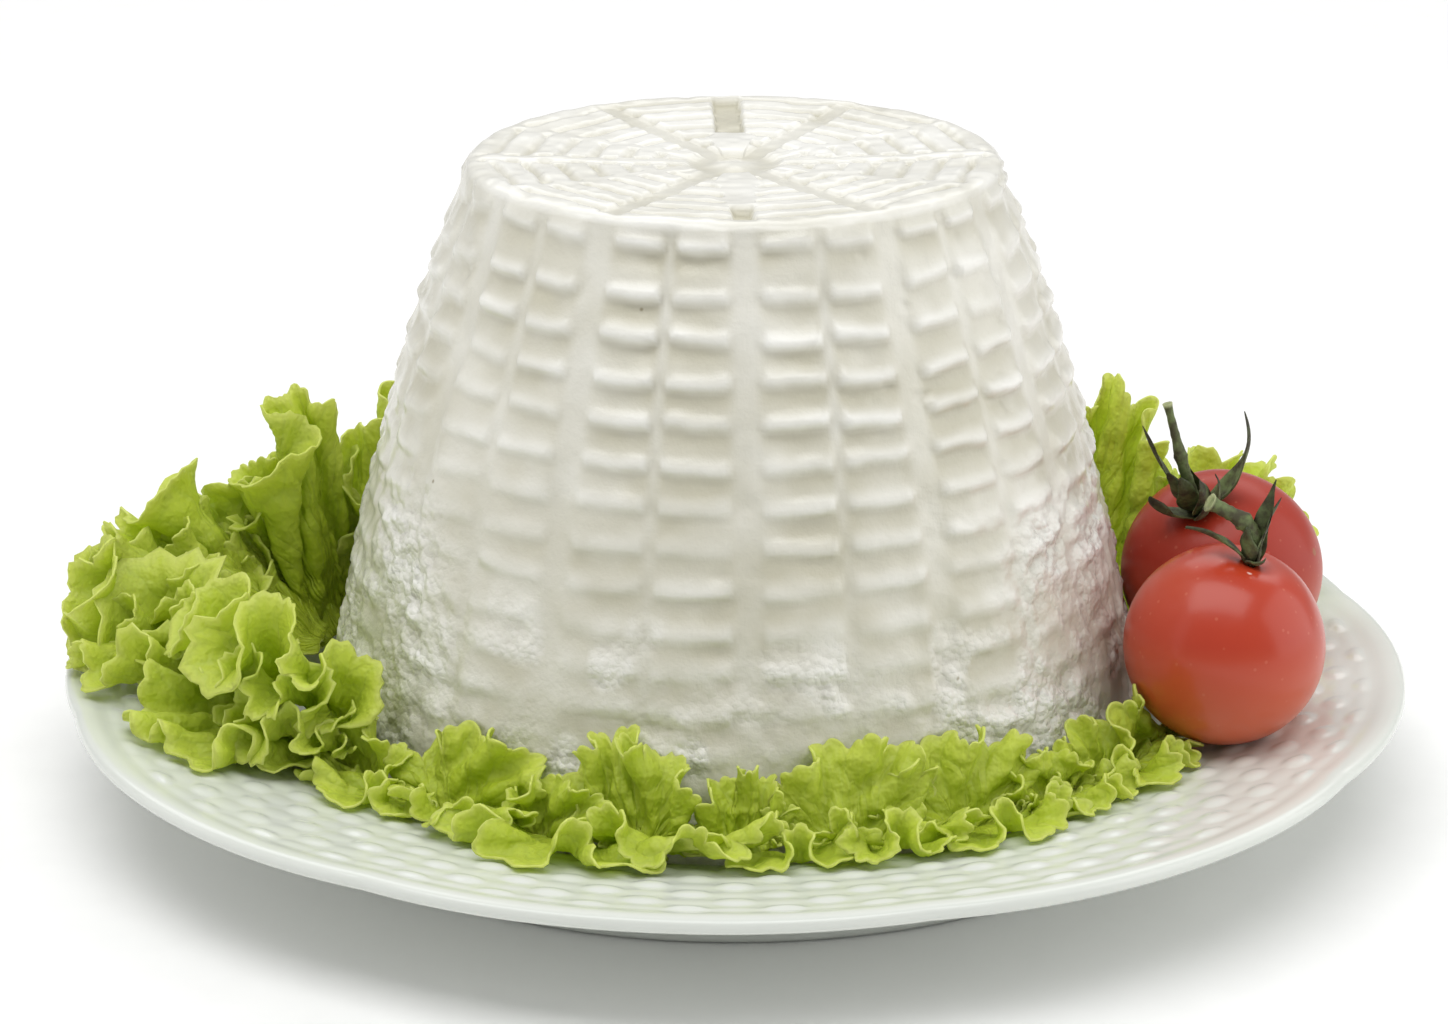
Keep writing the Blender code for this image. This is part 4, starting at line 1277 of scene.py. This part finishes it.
def leaf_blade(inner, frill):
    """Frilly green lettuce: thin, crisp, half see-through blade, waxy above, with a net of paler veins."""
    material, tree, shader, place = start_material("Lettuce blade")
    flat = add_node(tree, "ShaderNodeUVMap", uv_map="leaf").outputs["UV"]
    margin = add_node(tree, "ShaderNodeAttribute", attribute_name="margin").outputs["Fac"]
    # Veins: a net 5 mm wide and 12 mm long, stretched from the leaf's foot to its margin
    sway = add_node(tree, "ShaderNodeTexNoise", {"Vector": flat, "Scale": 0.12, "Detail": 1.0},
                    noise_dimensions="2D")
    bent = add_node(tree, "ShaderNodeVectorMath", {0: sway.outputs["Color"], 1: (5.0, 5.0, 0.0), 2: flat},
                    operation="MULTIPLY_ADD")
    netted = add_node(tree, "ShaderNodeMapping", {"Vector": bent.outputs["Vector"],
                                                 "Scale": (0.2, 0.085, 1.0)})
    net = add_node(tree, "ShaderNodeTexVoronoi", {"Vector": netted.outputs["Vector"], "Scale": 1.0},
                   feature="DISTANCE_TO_EDGE", voronoi_dimensions="2D")
    fine_net = add_node(tree, "ShaderNodeTexVoronoi", {"Vector": netted.outputs["Vector"], "Scale": 3.1},
                        feature="DISTANCE_TO_EDGE", voronoi_dimensions="2D")
    vein = add_node(tree, "ShaderNodeMapRange", {"Value": net.outputs["Distance"], "From Min": 0.0,
                                                "From Max": 0.09, "To Min": 1.0, "To Max": 0.0})
    vein_fine = add_node(tree, "ShaderNodeMapRange", {"Value": fine_net.outputs["Distance"], "From Min": 0.0,
                                                     "From Max": 0.14, "To Min": 0.4, "To Max": 0.0})
    veins = add_node(tree, "ShaderNodeMath", {0: vein.outputs["Result"], 1: vein_fine.outputs["Result"]},
                     operation="MAXIMUM")
    # Patches of lighter and darker green, about 15 mm across
    patches = add_node(tree, "ShaderNodeTexNoise", {"Vector": place, "Scale": 65.0, "Detail": 2.0})
    varied = add_node(tree, "ShaderNodeMapRange", {"Value": patches.outputs["Fac"], "From Min": 0.3,
                                                  "From Max": 0.7, "To Min": -0.25, "To Max": 0.35})
    amount = add_node(tree, "ShaderNodeMath", {0: margin, 1: varied.outputs["Result"]}, operation="ADD",
                      use_clamp=True)
    green = add_node(tree, "ShaderNodeMix", {0: amount.outputs[0], 6: inner, 7: frill}, data_type="RGBA")
    paler = add_node(tree, "ShaderNodeMath", {0: veins.outputs[0], 1: 0.3}, operation="MULTIPLY")
    veined = add_node(tree, "ShaderNodeMix", {0: paler.outputs[0], 6: green.outputs[2],
                                              7: linear("#BFD060")}, data_type="RGBA")
    # The last millimetre of the margin is paler
    brim = add_node(tree, "ShaderNodeMapRange", {"Value": margin, "From Min": 0.86, "From Max": 1.0,
                                                "To Min": 0.0, "To Max": 0.7})
    veined = add_node(tree, "ShaderNodeMix", {0: brim.outputs["Result"], 6: veined.outputs[2],
                                              7: linear("#ECF28C")}, data_type="RGBA")
    # Blisters between the veins, with fine pebbling about 1.4 mm across
    pebbles = add_node(tree, "ShaderNodeTexNoise", {"Vector": place, "Scale": 700.0, "Detail": 1.0})
    blister = add_node(tree, "ShaderNodeMath", {0: net.outputs["Distance"], 1: 2.2,
                                                2: pebbles.outputs["Fac"]}, operation="MULTIPLY_ADD")
    bump = add_node(tree, "ShaderNodeBump", {"Height": blister.outputs[0], "Strength": 0.7,
                                            "Distance": 0.8 * MM})
    set_inputs(tree, shader, {"Base Color": veined.outputs[2], "Roughness": 0.42, "IOR": 1.42,
                              "Normal": bump.outputs["Normal"]})
    through = add_node(tree, "ShaderNodeBsdfTranslucent", {"Color": veined.outputs[2],
                                                           "Normal": bump.outputs["Normal"]})
    # Light from behind shows through the thin wet blade
    mixed = add_node(tree, "ShaderNodeMixShader", {0: 0.44, 1: shader.outputs["BSDF"],
                                                   2: through.outputs["BSDF"]})
    set_inputs(tree, tree.nodes["Material Output"], {"Surface": mixed.outputs["Shader"]})
    return material


def leaf_edge():
    """Edge of the lettuce blade: painted paler than the blade and a little wetter, a painted highlight that
    shows as a thin bright line.
    """
    material, tree, shader, place = start_material("Lettuce edge")
    # Paler stretches of the painted highlight, about 5 mm long
    patches = add_node(tree, "ShaderNodeTexNoise", {"Vector": place, "Scale": 200.0, "Detail": 2.0})
    colour = add_node(tree, "ShaderNodeMix", {0: patches.outputs["Fac"], 6: linear("#D8E65C"),
                                              7: linear("#EDF392")}, data_type="RGBA")
    set_inputs(tree, shader, {"Base Color": colour.outputs[2], "Roughness": 0.4})
    through = add_node(tree, "ShaderNodeBsdfTranslucent", {"Color": colour.outputs[2]})
    mixed = add_node(tree, "ShaderNodeMixShader", {0: 0.3, 1: shader.outputs["BSDF"],
                                                   2: through.outputs["BSDF"]})
    set_inputs(tree, tree.nodes["Material Output"], {"Surface": mixed.outputs["Shader"]})
    return material


def cut_margin(places, sheet):
    """Trim a grown blade's margin into rounded lobes with sharp notches and small teeth between them."""
    columns, rows = places.shape[:2]
    u = np.linspace(0.0, 1.0, columns)
    phase = sheet["phase"]
    pitch, depth = sheet["lobes"]
    margin = np.concatenate([[0.0], np.cumsum(np.linalg.norm(np.diff(places[:, -1], axis=0), axis=1))])
    wander = margin / pitch + 0.45 * np.sin(margin / (2.3 * pitch) + 6.0 * phase) + phase
    big = np.abs(np.sin(math.pi * wander)) ** 0.6
    small = np.abs(np.sin(math.pi * (2.7 * wander + 0.3 * np.sin(9.0 * u + phase)))) ** 0.7
    uneven = 0.6 + 0.4 * np.sin(margin / (1.7 * pitch) + 11.0 * phase)
    length = np.linalg.norm(np.diff(places, axis=1), axis=-1).sum(1)
    trimmed = np.clip((depth * uneven * (1.0 - big) + 0.28 * depth * (1.0 - small)) / length, 0.0, 0.6)
    at = np.linspace(0.0, 1.0, rows)[None, :] * (1.0 - trimmed[:, None]) * (rows - 1)
    low = np.minimum(at.astype(int), rows - 2)
    part = (at - low)[..., None]
    column = np.arange(columns)[:, None]
    return places[column, low] * (1.0 - part) + places[column, low + 1] * part


def puckered(places):
    """Puff a blade up between its sunken veins, in blisters about 7 mm and 3.5 mm across."""
    normal = np.cross(np.gradient(places, axis=0), np.gradient(places, axis=1))
    normal /= np.linalg.norm(normal, axis=-1, keepdims=True) + 1e-9
    spots = places.reshape(-1, 3)
    puff = 0.3 - np.abs(soft_noise(spots, 7.0, 61)) + 0.5 * (0.3 - np.abs(soft_noise(spots, 3.5, 62)))
    return places + normal * (1.5 * puff.reshape(places.shape[:2]))[..., None]


def add_leaf_sheet(bm, places, layer, uv):
    """Add one grown blade to a leaf's bmesh, with its margin values and a UV map in millimetres."""
    columns, rows = places.shape[:2]
    wide = float(np.linalg.norm(np.diff(places, axis=0), axis=-1).mean())
    tall = float(np.linalg.norm(np.diff(places, axis=1), axis=-1).mean())
    grid = bmesh.ops.create_grid(bm, x_segments=columns - 1, y_segments=rows - 1, size=0.5)["verts"]
    spot = {}
    for vert in grid:
        i, j = round((vert.co.x + 0.5) * (columns - 1)), round((vert.co.y + 0.5) * (rows - 1))
        vert.co = places[i, j] * MM
        vert[layer] = (j / (rows - 1)) ** 2
        spot[vert] = (i * wide, j * tall)
    for face in {face for vert in grid for face in vert.link_faces}:
        for loop in face.loops:
            loop[uv].uv = spot[loop.vert]


LEAF_COLUMNS = 25
LEAF_ROWS = 5
GROWTH_SEED = 3
# Each spell of growth: steps, millimetres kept between layers, points that the stiffness reaches over,
# its strength along and across the blade, pull back to where the leaf lies, and the shake at the start
GROWTH_SPELLS = (
    (260, 2.6, 2, (0.35, 0.35), 0.02, 0.0),
    (180, 1.9, 3, (0.35, 0.3), 0.02, 0.2),
    (90, 1.2, 3, (0.3, 0.3), 0.01, 0.1),
)


class RICOTTA_OT_lettuce(Operator):
    """Grow and lay out every leaf of lettuce."""

    bl_idname = "ricotta.lettuce"
    bl_label = "Grow Lettuce"

    def execute(self, context):
        settings = context.scene.ricotta_lettuce
        sheets = [sheet for leaf in LEAVES.values() for sheet in leaf]
        tomatoes = [tomato_size(node) for node in TOMATO_NODES]
        leaves = GrowingLeaves(sheets, LEAF_COLUMNS, LEAF_ROWS, GROWTH_SEED)
        for number, (steps, thick, skip, stiff, hold, noise) in enumerate(GROWTH_SPELLS):
            if number:
                leaves.refine()
            leaves.relax(steps, thick, skip, stiff, hold, noise, tomatoes)
        skin, edge = leaf_blade(settings.blade, settings.frill), leaf_edge()
        grown = iter(leaves.x)
        for node, group in LEAVES.items():
            bm = bmesh.new()
            layer = bm.verts.layers.float.new("margin")
            uv = bm.loops.layers.uv.new("leaf")
            for sheet in group:
                fine = doubled(doubled(next(grown).astype(float), 0), 1)
                add_leaf_sheet(bm, puckered(cut_margin(fine, sheet)), layer, uv)
            piece = place_piece(mesh_from(bm, node.replace("lettuce", "leaf")), skin, "lettuce", node)
            piece.data.materials.append(edge)
            wall = piece.modifiers.new("Blade", "SOLIDIFY")
            wall.thickness = settings.thickness
            wall.offset = 0.0
            wall.material_offset_rim = 1
        return {"FINISHED"}


# ---------------------------------------------------------------- stage

def pale_paper():
    """Matt white background paper: even and soft, with a faint fibre."""
    material, tree, shader, place = start_material("White studio paper")
    # Fibre shows as faint clouds about 11 mm across
    fibre = add_node(tree, "ShaderNodeTexNoise", {"Vector": place, "Scale": 90.0, "Detail": 3.0})
    colour = add_node(tree, "ShaderNodeMix", {0: fibre.outputs["Fac"], 6: linear("#FBFBFA"),
                                              7: linear("#F6F6F5")}, data_type="RGBA")
    set_inputs(tree, shader, {"Base Color": colour.outputs[2], "Roughness": 0.9})
    return material


# Softboxes: name, place, what each is aimed at, its width and depth in metres, and its share of the
# key's power
SOFTBOXES = (
    ("Broad softbox", (-0.12, -0.3, 1.15), (0.0, 0.0, 0.05), 1.5, 0.75, 1.0),
    ("Right softbox", (1.1, -0.1, 0.45), (0.0, 0.0, 0.06), 1.2, 1.0, 0.5),
    ("Background light", (0.0, 1.7, 1.5), (0.0, 1.9, 0.0), 3.0, 1.6, 2.35),
    ("Left softbox", (-1.1, -0.1, 0.45), (0.0, 0.0, 0.06), 1.2, 1.0, 0.2),
)
# Camera: place in metres, how far it looks down in degrees, and focal length in millimetres
CAMERA_PLACE = (-0.00196, -0.7977, 0.3232)
CAMERA_DROP = 18.74
CAMERA_LENS = 106.2
FLOOR_RADIUS = 6.0
FLOOR_GAP = 0.0002


def add_softbox(name, place, target, width, depth, power):
    """A large softbox at one place, aimed at another."""
    light = bpy.data.lights.new(name, "AREA")
    light.energy = power
    light.shape = "RECTANGLE"
    light.size = width
    light.size_y = depth
    lamp = bpy.data.objects.new(name, light)
    lamp.location = place
    lamp.rotation_euler = (Vector(target) - Vector(place)).to_track_quat("-Z", "Y").to_euler()
    bpy.context.scene.collection.objects.link(lamp)


class RICOTTA_OT_stage(Operator):
    """Set up the pale floor, the soft studio light and the camera."""

    bl_idname = "ricotta.stage"
    bl_label = "Set Stage"

    def execute(self, context):
        settings = context.scene.ricotta_stage
        bm = bmesh.new()
        bmesh.ops.create_circle(bm, cap_ends=True, segments=96, radius=FLOOR_RADIUS)
        bmesh.ops.translate(bm, verts=bm.verts, vec=(0.0, 0.0, -FLOOR_GAP))
        floor = bpy.data.objects.new("floor", mesh_from(bm, "floor"))
        floor.data.materials.append(pale_paper())
        context.scene.collection.objects.link(floor)
        world = bpy.data.worlds.new("Pale room")
        world.use_nodes = True
        sky = world.node_tree.nodes["Background"]
        set_inputs(world.node_tree, sky, {"Color": linear("#FFFFFF"), "Strength": settings.room})
        context.scene.world = world
        for *placing, share in SOFTBOXES:
            add_softbox(*placing, settings.key * share)
        camera = bpy.data.cameras.new("Camera")
        camera.lens = CAMERA_LENS
        camera.sensor_width = 36.0
        camera.clip_start = 0.01
        viewer = bpy.data.objects.new("Camera", camera)
        viewer.location = CAMERA_PLACE
        viewer.rotation_euler = (math.radians(90.0 - CAMERA_DROP), 0.0, 0.0)
        context.scene.collection.objects.link(viewer)
        context.scene.camera = viewer
        context.scene.view_settings.view_transform = "Standard"
        return {"FINISHED"}


# ---------------------------------------------------------------- panel and registration

OPERATORS = (RICOTTA_OT_plate, RICOTTA_OT_cheese, RICOTTA_OT_tomatoes, RICOTTA_OT_calyxes,
             RICOTTA_OT_lettuce, RICOTTA_OT_stage)
SETTINGS = {
    "ricotta_plate": RicottaPlateSettings,
    "ricotta_cheese": RicottaCheeseSettings,
    "ricotta_tomato": RicottaTomatoSettings,
    "ricotta_lettuce": RicottaLettuceSettings,
    "ricotta_stage": RicottaStageSettings,
}


class RICOTTA_PT_panel(Panel):
    """Sidebar panel with every piece and its sizes and colours."""

    bl_idname = "RICOTTA_PT_panel"
    bl_label = "Basket Ricotta"
    bl_space_type = "VIEW_3D"
    bl_region_type = "UI"
    bl_category = "Ricotta"

    def draw(self, context):
        for operator in OPERATORS:
            self.layout.operator(operator.bl_idname)
        for name, settings in SETTINGS.items():
            box = self.layout.box()
            for field in settings.__annotations__:
                box.prop(getattr(context.scene, name), field)


def register():
    """Register the settings, the operators and the panel."""
    for name, settings in SETTINGS.items():
        bpy.utils.register_class(settings)
        setattr(bpy.types.Scene, name, PointerProperty(type=settings))
    for operator in OPERATORS:
        bpy.utils.register_class(operator)
    bpy.utils.register_class(RICOTTA_PT_panel)


def unregister():
    """Undo register, in the opposite order."""
    bpy.utils.unregister_class(RICOTTA_PT_panel)
    for operator in reversed(OPERATORS):
        bpy.utils.unregister_class(operator)
    for name, settings in reversed(SETTINGS.items()):
        delattr(bpy.types.Scene, name)
        bpy.utils.unregister_class(settings)


def main():
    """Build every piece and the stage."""
    register()
    bpy.ops.ricotta.plate()
    bpy.ops.ricotta.cheese()
    bpy.ops.ricotta.tomatoes()
    bpy.ops.ricotta.calyxes()
    bpy.ops.ricotta.lettuce()
    bpy.ops.ricotta.stage()


if __name__ == "__main__":
    main()
